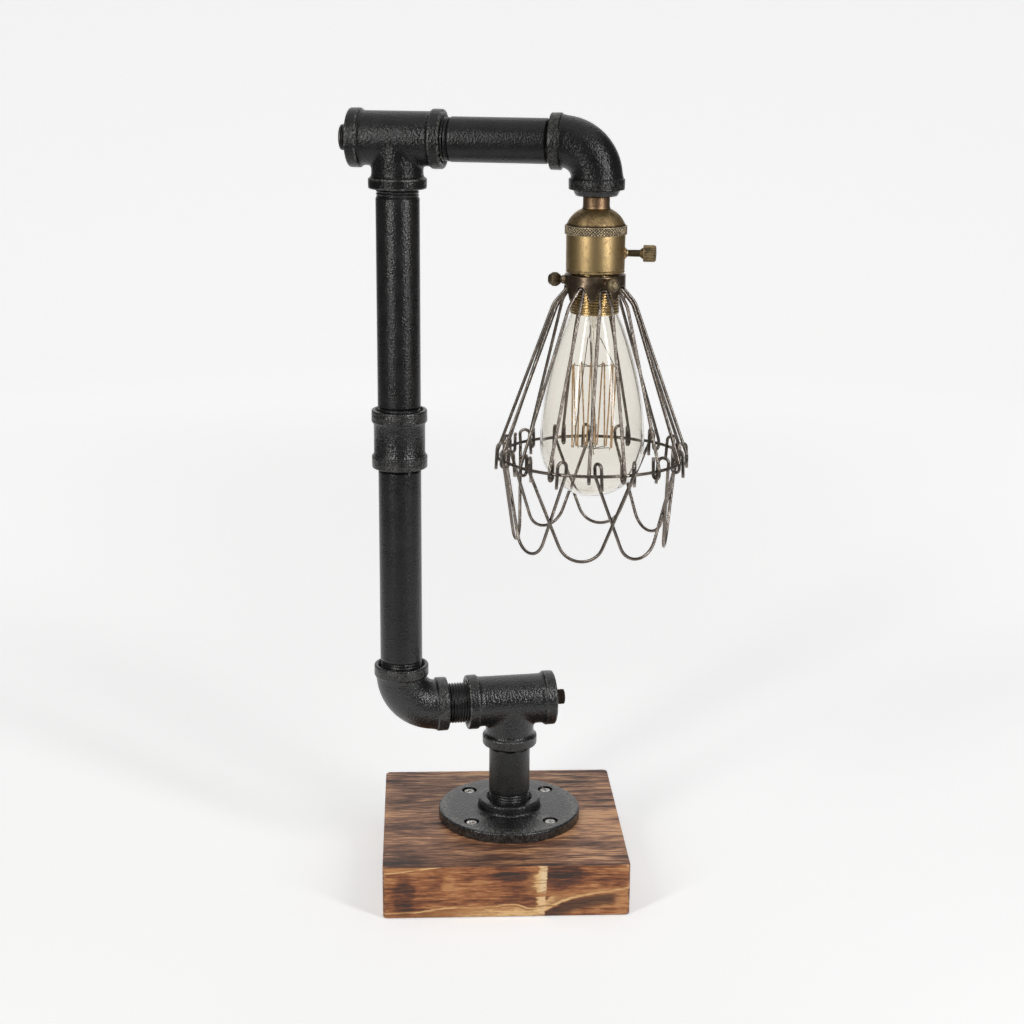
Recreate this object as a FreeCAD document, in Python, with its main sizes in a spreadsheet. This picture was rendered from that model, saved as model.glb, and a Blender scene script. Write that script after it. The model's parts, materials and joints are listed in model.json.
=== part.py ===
import FreeCAD, Part
import math
import os
import re
import Sketcher
from FreeCAD import Placement, Rotation, Vector

# Industrial pipe table lamp: a wooden block carries a floor flange and a column of screwed
# iron pipe, whose arm holds a brass lampholder with a turn key, a filament bulb and a wire
# cage with eight hanging petals.
#
# Millimetres, +Z up.  The origin is the middle of the wooden block's underside, X runs along
# the block's front edge to the right and -Y is the front.  All driving sizes are in the table
# below, which fills the document's sheet; everything else is worked out from them.

SIZES = [
    # wooden block
    ("wood_side", 155.0, "side of the square block"),
    ("wood_height", 34.5, "height of the block"),
    ("wood_edge", 1.2, "rounding of the block's edges"),
    ("base_axis_x", 5.0, "flange axis, to the right of the block's middle"),
    ("base_axis_y", 2.0, "flange axis, behind the block's middle"),
    # floor flange and its screws
    ("flange_radius", 46.5, "outer radius of the floor flange"),
    ("flange_thickness", 6.7, "thickness of the flange's disc"),
    ("flange_round", 1.6, "rounding of the flange's edges"),
    ("hub_radius", 20.3, "outer radius of the flange's hub"),
    ("hub_height", 13.3, "height of the hub above the wood"),
    ("screw_count", 4, "wood screws in the flange"),
    ("screw_circle", 36.2, "radius of the circle that the wood screws stand on"),
    ("screw_bearing", 45.0, "bearing of the first wood screw, degrees"),
    ("screw_head", 3.9, "radius of a wood screw's head"),
    ("screw_shank", 2.0, "radius of a wood screw's shank"),
    ("screw_length", 24.0, "length of a wood screw below its head's top"),
    ("screw_play", 0.3, "radial clearance around a wood screw's shank in the flange"),
    ("head_play", 0.1, "radial clearance around a wood screw's head"),
    ("countersink_rise", 0.2, "countersink's foot above the cone of the screw's head"),
    ("screw_recess", 0.7, "depth of the head's top below the flange's face"),
    ("recess_radius", 4.9, "radius of the recess around a screw's head"),
    ("screw_tip", 4.0, "length of a wood screw's point"),
    ("drive_width", 1.0, "width of the cross recess in a screw's head"),
    ("drive_depth", 1.3, "depth of the cross recess in a screw's head"),
    # pipe and its threads
    ("pipe_radius", 13.35, "outer radius of the 3/4 inch pipe"),
    ("pipe_bore", 10.5, "inner radius of the pipe"),
    ("thread_radius", 13.1, "crest radius of the pipe's thread"),
    ("thread_height", 0.55, "height of the pipe's thread"),
    ("thread_pitch", 1.814, "pitch of the pipe's thread"),
    ("thread_grip", 11.0, "length of thread inside a fitting"),
    ("thread_spare", 1.0, "depth of a fitting's thread beyond the pipe's end"),
    ("thread_fit", 0.05, "radial clearance in a thread"),
    ("thread_show", 0.9, "thread left showing beside a fitting"),
    ("base_thread_show", 4.6, "thread left showing above the flange's hub"),
    ("way_radius", 10.8, "inner radius of a fitting between its threads"),
    # fittings
    ("bead_round", 1.1, "rounding of a fitting's bead"),
    ("tee_half_run", 28.8, "tee: middle to the end of the run"),
    ("tee_reach", 29.8, "tee: middle to the end of the branch"),
    ("tee_body", 16.15, "tee: outer radius of the run"),
    ("tee_neck", 15.7, "tee: outer radius of the branch"),
    ("tee_bead", 17.7, "tee: outer radius of the beads"),
    ("tee_bead_width", 7.0, "tee: width of the beads"),
    ("lower_elbow_reach", 29.3, "lower elbow: corner to either end"),
    ("lower_elbow_body", 16.0, "lower elbow: outer radius"),
    ("lower_elbow_bead", 17.4, "lower elbow: outer radius of the beads"),
    ("lower_elbow_width", 7.0, "lower elbow: width of the beads"),
    ("lower_elbow_bend", 22.2, "lower elbow: bend radius of its middle line"),
    ("arm_elbow_reach", 27.4, "arm elbow: corner to either end"),
    ("arm_elbow_body", 15.3, "arm elbow: outer radius"),
    ("arm_elbow_bead", 16.7, "arm elbow: outer radius of the beads"),
    ("arm_elbow_width", 6.4, "arm elbow: width of the beads"),
    ("arm_elbow_bend", 20.8, "arm elbow: bend radius of its middle line"),
    ("coupling_half", 18.3, "coupling: half of its length"),
    ("coupling_body", 15.95, "coupling: outer radius between the beads"),
    ("coupling_bead", 17.3, "coupling: outer radius of the beads"),
    ("coupling_width", 7.8, "coupling: width of the beads"),
    # pipe lengths, each the stretch that shows between two fittings, and turns of the arms
    ("base_pipe_show", 37.7, "base nipple between hub and tee"),
    ("close_nipple_show", 12.9, "close nipple between tee and elbow"),
    ("lower_column_show", 129.6, "lower column pipe"),
    ("upper_column_show", 135.0, "upper column pipe"),
    ("arm_show", 64.6, "arm pipe"),
    ("lower_arm_turn", 8.0, "turn of the lower arm about the base, degrees"),
    ("upper_arm_turn", -13.6, "turn of the upper arm from the block's front, degrees"),
    # plug of the top tee
    ("plug_stub_radius", 7.8, "radius of the top plug's threaded stub"),
    ("plug_stub_length", 5.7, "length of the top plug's stub"),
    ("plug_thread_height", 0.6, "height of the stub's thread"),
    ("plug_round", 1.4, "rounding of the stub's end"),
    # cord outlet in the base tee
    ("outlet_radius", 5.0, "outer radius of the outlet's threaded tube"),
    ("outlet_bore", 3.3, "inner radius of the outlet's threaded tube"),
    ("outlet_stub", 6.0, "length of the tube outside its washer"),
    ("outlet_pitch", 1.0, "pitch of the tube's thread"),
    ("outlet_thread_height", 0.35, "height of the tube's thread"),
    ("outlet_washer_radius", 8.2, "radius of the outlet's washer"),
    ("outlet_washer_thickness", 1.2, "thickness of the outlet's washer"),
    # reducer, neck and lampholder
    ("bushing_flange", 3.7, "height of the reducer's flange"),
    ("bushing_top", 14.0, "radius of the reducer's flange at its top"),
    ("bushing_foot", 12.6, "radius of the reducer's flange at its foot"),
    ("neck_tube_drop", 8.0, "length of the lamp nipple inside the cap"),
    ("cap_neck_radius", 7.95, "outer radius of the cap's neck"),
    ("cap_neck_height", 5.5, "height of the cap's neck"),
    ("cap_dome_height", 11.4, "height of the cap's dome"),
    ("cap_dome_curve", 16.3, "radius of the dome's profile"),
    ("cap_radius", 17.4, "outer radius of the cap's rim"),
    ("brass_wall", 0.8, "wall of the brass shells"),
    ("ring_radius", 18.65, "outer radius of the knurled ring"),
    ("ring_height", 5.2, "height of the knurled ring"),
    ("ring_round", 0.5, "rounding of the knurled ring's edges"),
    ("shell_radius", 17.7, "outer radius of the lampholder's shell"),
    ("shell_height", 27.6, "height of the lampholder's shell"),
    ("shell_round", 0.7, "rounding of the shell's lower edge"),
    ("seam_gap", 0.2, "seam between cap, ring and shell"),
    ("liner_wall", 0.45, "thickness of the insulating liner"),
    ("liner_gap", 0.15, "clearance around the insulating liner"),
    ("sleeve_radius", 14.95, "crest radius of the threaded sleeve"),
    ("sleeve_bore", 14.1, "inner radius of the threaded sleeve"),
    ("sleeve_drop", 24.6, "length of the sleeve below the shell"),
    ("sleeve_pitch", 1.7, "pitch of the sleeve's thread"),
    ("sleeve_thread_height", 0.5, "height of the sleeve's thread"),
    ("sleeve_flange", 16.2, "radius of the sleeve's inner flange"),
    ("sleeve_fit", 0.1, "clearance of the sleeve in the shell"),
    # switch and contacts
    ("key_height", 11.3, "key's axis above the shell's lower edge"),
    ("key_turn", 5.0, "bearing of the key from the arm, degrees"),
    ("key_shaft_radius", 2.2, "radius of the key's shaft"),
    ("key_shaft_out", 27.4, "distance of the key's knob from the lampholder's axis"),
    ("key_knob_radius", 5.05, "radius of the key's knob"),
    ("key_knob_length", 8.8, "length of the key's knob"),
    ("key_knob_dome", 8.0, "radius of the knob's domed end"),
    ("key_knob_neck", 3.1, "radius of the collar behind the knob"),
    ("key_neck_length", 1.6, "length of the collar behind the knob"),
    ("key_flute_radius", 0.55, "radius of a flute in the knob"),
    ("key_flutes", 14, "flutes around the knob"),
    ("shaft_fit", 0.05, "radial clearance around turning shafts"),
    ("rotor_radius", 3.6, "radius of the switch rotor"),
    ("rotor_half", 7.0, "half of the switch rotor's length"),
    ("rotor_flat", 3.0, "distance of the rotor's flats from its axis"),
    ("rotor_room", 0.4, "room around the switch rotor"),
    ("body_wall_gap", 0.3, "clearance between switch body and liner"),
    ("body_bottom", 5.4, "switch body's underside above the shell's lower edge"),
    ("body_top_gap", 4.2, "switch body's top below the shell's upper edge"),
    ("terminal_radius", 2.6, "radius of a terminal screw's head"),
    ("terminal_head", 1.8, "height of a terminal screw's head"),
    ("terminal_shank", 1.4, "radius of a terminal screw's shank"),
    ("terminal_depth", 5.0, "depth of a terminal screw in the body"),
    ("terminal_count", 2, "terminal screws"),
    ("terminal_offset", 9.0, "distance of the terminal screws from the axis"),
    ("screw_shell_bore", 13.4, "inner radius of the bulb's screw shell"),
    ("screw_shell_wall", 0.4, "wall of the bulb's screw shell"),
    ("screw_shell_height", 27.2, "height of the bulb's screw shell"),
    ("screw_shell_hole", 7.0, "radius of the hole in the screw shell's top"),
    ("contact_radius", 4.0, "radius of the centre contact"),
    ("contact_thickness", 0.5, "thickness of the centre contact"),
    ("contact_stem", 1.4, "radius of the centre contact's rivet"),
    ("contact_stem_length", 1.4, "length of the centre contact's rivet"),
    # bulb
    ("bulb_radius", 31.7, "largest radius of the bulb"),
    ("bulb_length", 142.0, "length of the bulb over its cap"),
    ("bulb_neck", 13.3, "radius of the glass where it leaves the cap"),
    ("bulb_neck_depth", 28.2, "depth of that place below the cap's contact"),
    ("bulb_tail", 12.4, "radius of the glass inside the cap"),
    ("bulb_tail_gap", 1.0, "top of the glass's tail below the cap's thread"),
    ("bulb_wall", 0.8, "wall of the glass"),
    ("bulb_seat_gap", 0.1, "gap between the bulb's contact and the centre contact"),
    ("bulb_cap_radius", 13.1, "crest radius of the bulb's cap"),
    ("bulb_cap_wall", 0.35, "wall of the bulb's cap"),
    ("bulb_cap_cement", 0.3, "cement between the bulb's glass and its cap"),
    ("bulb_cap_depth", 26.2, "depth of the cap's lower edge"),
    ("bulb_cap_shoulder", 4.0, "depth of the cap's shoulder"),
    ("bulb_cap_pitch", 3.6, "pitch of the cap's thread"),
    ("bulb_thread_height", 0.7, "height of the cap's thread"),
    ("bulb_cap_turns", 5, "turns of the cap's thread"),
    ("bulb_insulator", 6.0, "radius of the cap's insulator"),
    ("bulb_button", 4.4, "radius of the cap's contact button"),
    ("bulb_button_height", 1.2, "height of the cap's contact button"),
    ("stem_gap", 0.3, "gap between the stem's flare and the bulb's glass"),
    ("stem_radius", 2.7, "radius of the glass stem"),
    ("stem_top", 25.0, "depth of the stem's flare"),
    ("stem_bead_depth", 44.5, "depth of the stem's bead"),
    ("stem_bead", 3.3, "radius of the stem's bead"),
    ("rod_radius", 1.1, "radius of the stem's glass rod"),
    ("rod_end", 117.0, "depth of the glass rod's end"),
    ("filament_top", 62.5, "depth of the filament's upper bends"),
    ("filament_bottom", 113.0, "depth of the filament's lower bends"),
    ("filament_top_radius", 13.8, "radius of the filament's upper bends"),
    ("filament_foot_radius", 12.4, "radius of the filament's lower bends"),
    ("filament_hooks", 6, "upper bends of the filament"),
    ("filament_wire", 0.4, "radius of the filament"),
    ("filament_bend", 0.7, "bend radius of the filament"),
    ("filament_twist", 12.0, "bearing of the first upper bend, degrees"),
    ("support_wire", 0.3, "radius of the filament's support wires"),
    ("support_gap", 0.1, "gap between a support's eye and the filament"),
    # cage collar and its thumb screws
    ("collar_gap", 1.2, "gap between the shell and the cage's collar"),
    ("collar_radius", 18.3, "outer radius of the collar"),
    ("collar_wall", 0.8, "wall of the collar"),
    ("collar_lip", 1.4, "thickness of the collar's lip"),
    ("collar_bore", 15.3, "radius of the collar's mouth around the sleeve"),
    ("collar_height", 14.9, "height of the collar to its finger tips"),
    ("collar_round", 0.6, "rounding of the collar's upper edge"),
    ("finger_count", 8, "fingers of the collar, and hairpin ribs"),
    ("finger_slit_drop", 6.1, "depth of the slits' round tops below the collar's top"),
    ("finger_slit_radius", 3.3, "radius of the slits' round tops"),
    ("finger_slit_slope", 20.0, "slope of a slit's sides where they meet its round top, degrees"),
    ("finger_tip", 1.3, "half-width of a finger's tip"),
    ("cage_bearing", 25.8, "bearing of the first slit from the arm, degrees"),
    ("thumb_count", 3, "thumb screws in the collar"),
    ("thumb_bearing", 63.2, "bearing of the first thumb screw, degrees"),
    ("thumb_drop", 3.9, "thumb screws' axis below the collar's top"),
    ("thumb_shank", 1.5, "radius of a thumb screw's shank"),
    ("thumb_tip_gap", 0.05, "gap between a thumb screw's tip and the sleeve"),
    ("thumb_boss_radius", 2.7, "radius of the boss around a thumb screw"),
    ("thumb_boss_out", 1.6, "height of the boss outside the collar"),
    ("thumb_neck", 2.2, "radius of a thumb screw's neck"),
    ("thumb_neck_length", 0.9, "length of a thumb screw's neck"),
    ("thumb_knob_radius", 4.2, "radius of a thumb screw's knob"),
    ("thumb_knob_length", 7.6, "length of a thumb screw's knob"),
    ("thumb_knob_round", 3.0, "rounding of a thumb screw's knob"),
    # cage: ribs, ring and petals
    ("wire_radius", 1.0, "radius of the cage's wire"),
    ("cage_drop", 111.2, "depth of the ring below the collar's top"),
    ("cage_radius", 55.5, "radius of the ring's middle line"),
    ("rib_top_radius", 16.3, "distance of a hairpin's top from the axis"),
    ("rib_top_drop", 7.6, "depth of a hairpin's top below the collar's top"),
    ("rib_top_half", 1.7, "half-width of a hairpin's top"),
    ("rib_knee_radius", 24.5, "distance of a rib's knee from the axis"),
    ("rib_knee_drop", 17.4, "depth of a rib's knee below the collar's top"),
    ("rib_knee_spread", 9.0, "bearing of the knees from a hairpin's middle, degrees"),
    ("rib_knee_bend", 14.0, "bend radius of a rib's knee"),
    ("rib_twist", 8.5, "turn of a hairpin between its top and its foot, degrees"),
    ("rib_foot_spread", 10.6, "bearing of the feet from a hairpin's middle, degrees"),
    ("rib_hook_half", 2.3, "half-width of a rib's foot hook"),
    ("rib_hook_drop", 4.2, "depth of a foot hook's bend below the ring"),
    ("rib_hook_rise", 1.6, "height above the ring where a rib starts to lean"),
    ("rib_hook_lean", 5.0, "bend radius where a rib starts to lean"),
    ("rib_tail", 8.5, "height of a foot hook's tail above the ring"),
    ("petal_count", 8, "petals"),
    ("petal_bearing", 1.15, "bearing of the first petal's middle, degrees"),
    ("petal_half_angle", 33.75, "bearing of a petal's hooks from its middle, degrees"),
    ("petal_hook_half", 3.15, "half-width of a petal's hooks"),
    ("petal_hook_rise", 7.6, "height of a petal's hooks above the ring"),
    ("petal_tail", 8.5, "depth of a hook's tail below the ring"),
    ("petal_drop", 54.5, "depth of a petal's middle line below the ring"),
    ("petal_round", 14.0, "radius of a petal's round end"),
    ("petal_bend", 8.0, "bend radius where a petal's legs leave their hooks"),
    ("petal_lean", 3.7, "lean of a petal about its hooks, degrees"),
    # lead inside the pipes
    ("lead_radius", 3.0, "radius of the round two-core lead"),
    ("lead_recess", 3.0, "depth of the lead's end inside the outlet's mouth"),
    ("lead_tee_bend", 16.0, "bend radius of the lead in the top tee"),
    ("lead_core", 0.9, "radius of a core"),
    ("lead_core_bend", 3.0, "bend radius of a core"),
    ("lead_core_offset", 1.3, "distance of the cores from the lead's middle"),
    ("lead_split", 1.5, "length of lead below the lamp nipple"),
    ("lead_straight", 0.1, "straight length of the lead before its bend in the arm elbow"),
    ("head_seam", 17.0, "lead's seam in the arm elbow, before the head's axis"),
]

document = FreeCAD.newDocument("pipe_table_lamp")
sheet = document.addObject("Spreadsheet::Sheet", "Sizes")
for row, (alias, number, note) in enumerate(SIZES, start=1):
    sheet.set(f"A{row}", note)
    sheet.set(f"B{row}", str(number))
    sheet.setAlias(f"B{row}", alias)
document.recompute()

ALIASES = {alias for alias, number, note in SIZES}


# ---------------------------------------------------------------- sheet and expressions

def cells(expression):
    """Expression with every size's name written as a reference to the sheet."""
    return re.sub(r"[a-z][a-z_]+", lambda word: f"Sizes.{word[0]}" if word[0] in ALIASES else word[0],
                  str(expression))


def value(expression):
    """Number that an expression of size names gives now."""
    result = sheet.evalExpression(cells(expression))
    return float(getattr(result, "Value", result))


def bind(target, property_name, expression):
    """Ties a property to an expression of size names."""
    target.setExpression(property_name, cells(expression))


# ---------------------------------------------------------------- frames of the assembly

def turned_frame(frame, angle):
    """Frame turned about its own Z by an angle in degrees."""
    return frame.multiply(Placement(Vector(), Rotation(Vector(0, 0, 1), angle)))


def moved_frame(frame, x=0.0, y=0.0, z=0.0):
    """Frame moved along its own axes."""
    return frame.multiply(Placement(Vector(x, y, z), Rotation()))


def tipped_frame(frame, axis, angle):
    """Frame tipped about one of its own axes by an angle in degrees."""
    return frame.multiply(Placement(Vector(), Rotation(axis, angle)))


AXIS_X = Vector(1, 0, 0)
AXIS_Y = Vector(0, 1, 0)
AXIS_Z = Vector(0, 0, 1)

LOWER_ARM = "(lower_elbow_reach + close_nipple_show + tee_half_run)"
UPPER_ARM = "(tee_half_run + arm_show + arm_elbow_reach)"
THREAD_BORE = "(thread_radius + thread_fit)"
BODY_HEIGHT = "(shell_height - body_top_gap - body_bottom)"
TAIL_DEPTH = "(bulb_cap_shoulder + bulb_cap_turns * bulb_cap_pitch + bulb_tail_gap)"
THREAD_DEPTH = "(thread_grip + thread_spare)"

base_frame = Placement(Vector(value("base_axis_x"), value("base_axis_y"), value("wood_height")), Rotation())
flange_frame = turned_frame(base_frame, value("screw_bearing"))
lower_height = value("hub_height + base_pipe_show + tee_reach")
lower_frame = turned_frame(moved_frame(base_frame, z=lower_height), value("lower_arm_turn"))
lower_elbow_frame = moved_frame(lower_frame, x=-value(LOWER_ARM))
column_frame = Placement(lower_elbow_frame.Base, Rotation(AXIS_Z, value("upper_arm_turn")))
coupling_frame = moved_frame(column_frame, z=value("lower_elbow_reach + lower_column_show + coupling_half"))
upper_frame = moved_frame(coupling_frame, z=value("coupling_half + upper_column_show + tee_reach"))
head_frame = moved_frame(upper_frame, x=value(UPPER_ARM))
bushing_frame = moved_frame(head_frame, z=-value("arm_elbow_reach"))
cap_frame = moved_frame(bushing_frame, z=-value("bushing_flange + cap_neck_height + cap_dome_height"))
shell_frame = moved_frame(cap_frame, z=-value("seam_gap + shell_height"))
body_frame = moved_frame(shell_frame, z=value("body_bottom"))
bulb_frame = moved_frame(body_frame, z=-value("contact_thickness + bulb_seat_gap"))
collar_frame = moved_frame(shell_frame, z=-value("collar_gap"))
cage_frame = moved_frame(collar_frame, z=-value("cage_drop"))
key_frame = moved_frame(turned_frame(shell_frame, value("key_turn")), z=value("key_height"))


# ---------------------------------------------------------------- bodies and sketches

def new_body(label):
    """Empty PartDesign body with a label of its own."""
    body = document.addObject("PartDesign::Body", label)
    body.Label = label
    return body


def origin_feature(body, role):
    """Plane or axis of the body's own origin."""
    return next(item for item in body.Origin.OriginFeatures if item.Role == role)


def attached_sketch(body, name, role="XZ_Plane", height=None):
    """Sketch on one of the body's origin planes, lifted off it by a height if one is given."""
    sketch = body.newObject("Sketcher::SketchObject", name)
    sketch.AttachmentSupport = [(origin_feature(body, role), "")]
    sketch.MapMode = "FlatFace"
    if height:
        bind(sketch, "AttachmentOffset.Base.z", height)
    return sketch


def hold_point(sketch, geometry, point, across, along):
    """Ties one point of a sketch to two expressions."""
    for kind, expression in (("DistanceX", across), ("DistanceY", along)):
        datum = Sketcher.Constraint(kind, -1, 1, geometry, point, value(expression))
        index = sketch.addConstraint(datum)
        bind(sketch, f"Constraints[{index}]", expression)


def arc_between(start, stop, radius):
    """Arc from start to stop that turns left if the radius is positive, else right."""
    if radius < 0:
        start, stop = stop, start
    chord = stop - start
    rise = math.sqrt(max(radius ** 2 - (chord.Length / 2) ** 2, 0.0))
    normal = Vector(-chord.y, chord.x, 0).normalize()
    centre = (start + stop) / 2 + normal * rise
    circle = Part.Circle(centre, AXIS_Z, abs(radius))
    first = math.atan2(start.y - centre.y, start.x - centre.x)
    last = math.atan2(stop.y - centre.y, stop.x - centre.x)
    return Part.ArcOfCircle(circle, first, last)


def draw_outline(sketch, vertices):
    """Closed outline, anticlockwise.

    A vertex is (across, along), or (across, along, radius) where an arc leaves it: a plain
    radius bulges outward, one with a minus sign inward.
    """
    points = [Vector(value(vertex[0]), value(vertex[1]), 0) for vertex in vertices]
    edges = []
    for index, vertex in enumerate(vertices):
        start, stop = points[index], points[(index + 1) % len(points)]
        if len(vertex) == 2:
            edges.append((sketch.addGeometry(Part.LineSegment(start, stop), False), 1, 2))
            continue
        inward = vertex[2].startswith("-")
        radius = vertex[2].lstrip("-")
        signed = -value(radius) if inward else value(radius)
        geometry = sketch.addGeometry(arc_between(start, stop, signed), False)
        edges.append((geometry, 2, 1) if inward else (geometry, 1, 2))
        datum = sketch.addConstraint(Sketcher.Constraint("Radius", geometry, value(radius)))
        bind(sketch, f"Constraints[{datum}]", radius)
    for index, (geometry, start_point, stop_point) in enumerate(edges):
        following, following_start, _ = edges[(index + 1) % len(edges)]
        sketch.addConstraint(
            Sketcher.Constraint("Coincident", geometry, stop_point, following, following_start))
        hold_point(sketch, geometry, start_point, *vertices[index][:2])


def add_axis(sketch, vertical, offset):
    """Construction line of a sketch, parallel to its vertical or horizontal axis."""
    place = value(offset)
    if vertical:
        ends = (Vector(place, 0, 0), Vector(place, 1, 0))
    else:
        ends = (Vector(0, place, 0), Vector(1, place, 0))
    line = sketch.addGeometry(Part.LineSegment(*ends), True)
    if vertical:
        hold_point(sketch, line, 1, offset, "0")
        hold_point(sketch, line, 2, offset, "1")
    else:
        hold_point(sketch, line, 1, "0", offset)
        hold_point(sketch, line, 2, "1", offset)


def revolve(body, name, vertices, axis="V_Axis", cut=False, offset=None):
    """Full turn of an outline in the body's XZ plane, added to the body or cut from it.

    The axis is the sketch's own vertical or horizontal one, or one parallel to it at an offset.
    """
    sketch = attached_sketch(body, f"{name}_outline")
    draw_outline(sketch, vertices)
    if offset:
        add_axis(sketch, axis == "V_Axis", offset)
        axis = "Axis0"
    kind = "PartDesign::Groove" if cut else "PartDesign::Revolution"
    feature = body.newObject(kind, name)
    feature.Profile = sketch
    feature.ReferenceAxis = (sketch, [axis])
    feature.Angle = 360
    body.Tip = feature
    return feature


def swing(body, name, radius, bend, cut=False):
    """Quarter bend of a round section from the body's +Z leg to its +X leg."""
    sketch = attached_sketch(body, f"{name}_section", "XY_Plane", bend)
    circle = sketch.addGeometry(Part.Circle(Vector(), AXIS_Z, value(radius)), False)
    sketch.addConstraint(Sketcher.Constraint("Coincident", circle, 3, -1, 1))
    datum = sketch.addConstraint(Sketcher.Constraint("Radius", circle, value(radius)))
    bind(sketch, f"Constraints[{datum}]", radius)
    add_axis(sketch, True, bend)
    kind = "PartDesign::Groove" if cut else "PartDesign::Revolution"
    feature = body.newObject(kind, name)
    feature.Profile = sketch
    feature.ReferenceAxis = (sketch, ["Axis0"])
    feature.Angle = 90
    feature.Reversed = True
    body.Tip = feature
    return feature


def repeat_round(body, name, feature, count):
    """Polar pattern of a feature about the body's Z axis."""
    pattern = body.newObject("PartDesign::PolarPattern", name)
    pattern.Originals = [feature]
    pattern.Axis = (origin_feature(body, "Z_Axis"), [""])
    pattern.Angle = 360
    pattern.Occurrences = int(value(count))
    bind(pattern, "Occurrences", count)
    body.Tip = pattern
    return pattern


def turned_piece(label, frame, vertices, axis="V_Axis"):
    """Piece that is one turned outline."""
    body = new_body(label)
    revolve(body, f"{label}_turn", vertices, axis)
    return finish(body, frame)


def finish(piece, frame):
    """Recomputes a piece and puts it in its frame."""
    document.recompute()
    piece.Placement = frame
    pieces.append(piece)
    return piece


def shaped_piece(label, shape, frame):
    """Piece whose shape comes from Part's own functions."""
    feature = document.addObject("Part::Feature", label)
    feature.Label = label
    feature.Shape = shape
    return finish(feature, frame)


pieces = []


# ---------------------------------------------------------------- shared outlines

def ridges(crest, height, pitch, start, length):
    """Rising zigzag of thread crests on the outside of an outline."""
    turns = max(int(value(length) / value(pitch) + LEAST_RUN), 1)
    vertices = []
    for turn in range(turns):
        vertices.append((f"{crest} - {height}", f"{start} + {turn} * {pitch}"))
        vertices.append((crest, f"{start} + {turn} * {pitch} + {pitch} / 2"))
    vertices.append((f"{crest} - {height}", f"{start} + {turns} * {pitch}"))
    return vertices


def swapped(vertices):
    """Outline mirrored about the diagonal, kept anticlockwise, for a turn about the X axis."""
    flipped = []
    for index in range(len(vertices) - 1, -1, -1):
        across, along = vertices[index][:2]
        arc = vertices[index - 1][2:]
        flipped.append((along, across, *arc))
    return flipped


def leg_outline(start, reach, body, bead, width):
    """Half section of a fitting's leg with a bead at its end, along the vertical axis."""
    return [
        ("0", start),
        (body, start),
        (body, f"{reach} - {width}"),
        (f"{bead} - bead_round", f"{reach} - {width}", "bead_round"),
        (bead, f"{reach} - {width} + bead_round"),
        (bead, f"{reach} - bead_round", "bead_round"),
        (f"{bead} - bead_round", reach),
        ("0", reach),
    ]


def run_outline(half, body, bead, width):
    """Half section of a straight fitting with a bead at both ends, along the vertical axis."""
    return [
        ("0", f"-{half}"),
        (f"{bead} - bead_round", f"-{half}", "bead_round"),
        (bead, f"-{half} + bead_round"),
        (bead, f"-{half} + {width} - bead_round", "bead_round"),
        (f"{bead} - bead_round", f"-{half} + {width}"),
        (body, f"-{half} + {width}"),
        (body, f"{half} - {width}"),
        (f"{bead} - bead_round", f"{half} - {width}", "bead_round"),
        (bead, f"{half} - {width} + bead_round"),
        (bead, f"{half} - bead_round", "bead_round"),
        (f"{bead} - bead_round", half),
        ("0", half),
    ]


def run_bore(half):
    """Half section of the bore through a straight fitting, threaded at both ends."""
    return [
        ("0", f"-{half}"),
        (THREAD_BORE, f"-{half}"),
        (THREAD_BORE, f"-{half} + {THREAD_DEPTH}"),
        ("way_radius", f"-{half} + {THREAD_DEPTH}"),
        ("way_radius", f"{half} - {THREAD_DEPTH}"),
        (THREAD_BORE, f"{half} - {THREAD_DEPTH}"),
        (THREAD_BORE, half),
        ("0", half),
    ]


def leg_bore(start, reach):
    """Half section of the bore in a fitting's leg, threaded at its end."""
    return [
        ("0", start),
        ("way_radius", start),
        ("way_radius", f"{reach} - {THREAD_DEPTH}"),
        (THREAD_BORE, f"{reach} - {THREAD_DEPTH}"),
        (THREAD_BORE, reach),
        ("0", reach),
    ]


# ---------------------------------------------------------------- base

def make_wood_base():
    """Square block with rounded edges and a pilot hole under each screw."""
    body = new_body("wood_base")
    outline = attached_sketch(body, "block_outline", "XY_Plane")
    outline.AttachmentOffset = Placement(Vector(), Rotation(AXIS_Z, -value("screw_bearing")))
    left, right = "-wood_side / 2 - base_axis_x", "wood_side / 2 - base_axis_x"
    front, back = "-wood_side / 2 - base_axis_y", "wood_side / 2 - base_axis_y"
    draw_outline(outline, [(left, front), (right, front), (right, back), (left, back)])
    block = body.newObject("PartDesign::Pad", "block")
    block.Profile = outline
    bind(block, "Length", "wood_height")
    body.Tip = block
    document.recompute()
    rounding = body.newObject("PartDesign::Fillet", "block_rounding")
    rounding.Base = (block, [f"Edge{index + 1}" for index, edge in enumerate(block.Shape.Edges)])
    rounding.Radius = value("wood_edge")
    bind(rounding, "Radius", "wood_edge")
    body.Tip = rounding
    document.recompute()
    bottom = "wood_height + flange_thickness - screw_recess - screw_length"
    pilot = revolve(body, "pilot_hole", [
        ("screw_circle", f"{bottom} - thread_fit"),
        ("screw_circle + screw_shank + thread_fit", f"{bottom} + screw_tip"),
        ("screw_circle + screw_shank + thread_fit", "wood_height + 1"),
        ("screw_circle", "wood_height + 1"),
    ], cut=True, offset="screw_circle")
    repeat_round(body, "pilot_holes", pilot, "screw_count")
    return finish(body, moved_frame(flange_frame, z=-value("wood_height")))


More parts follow.
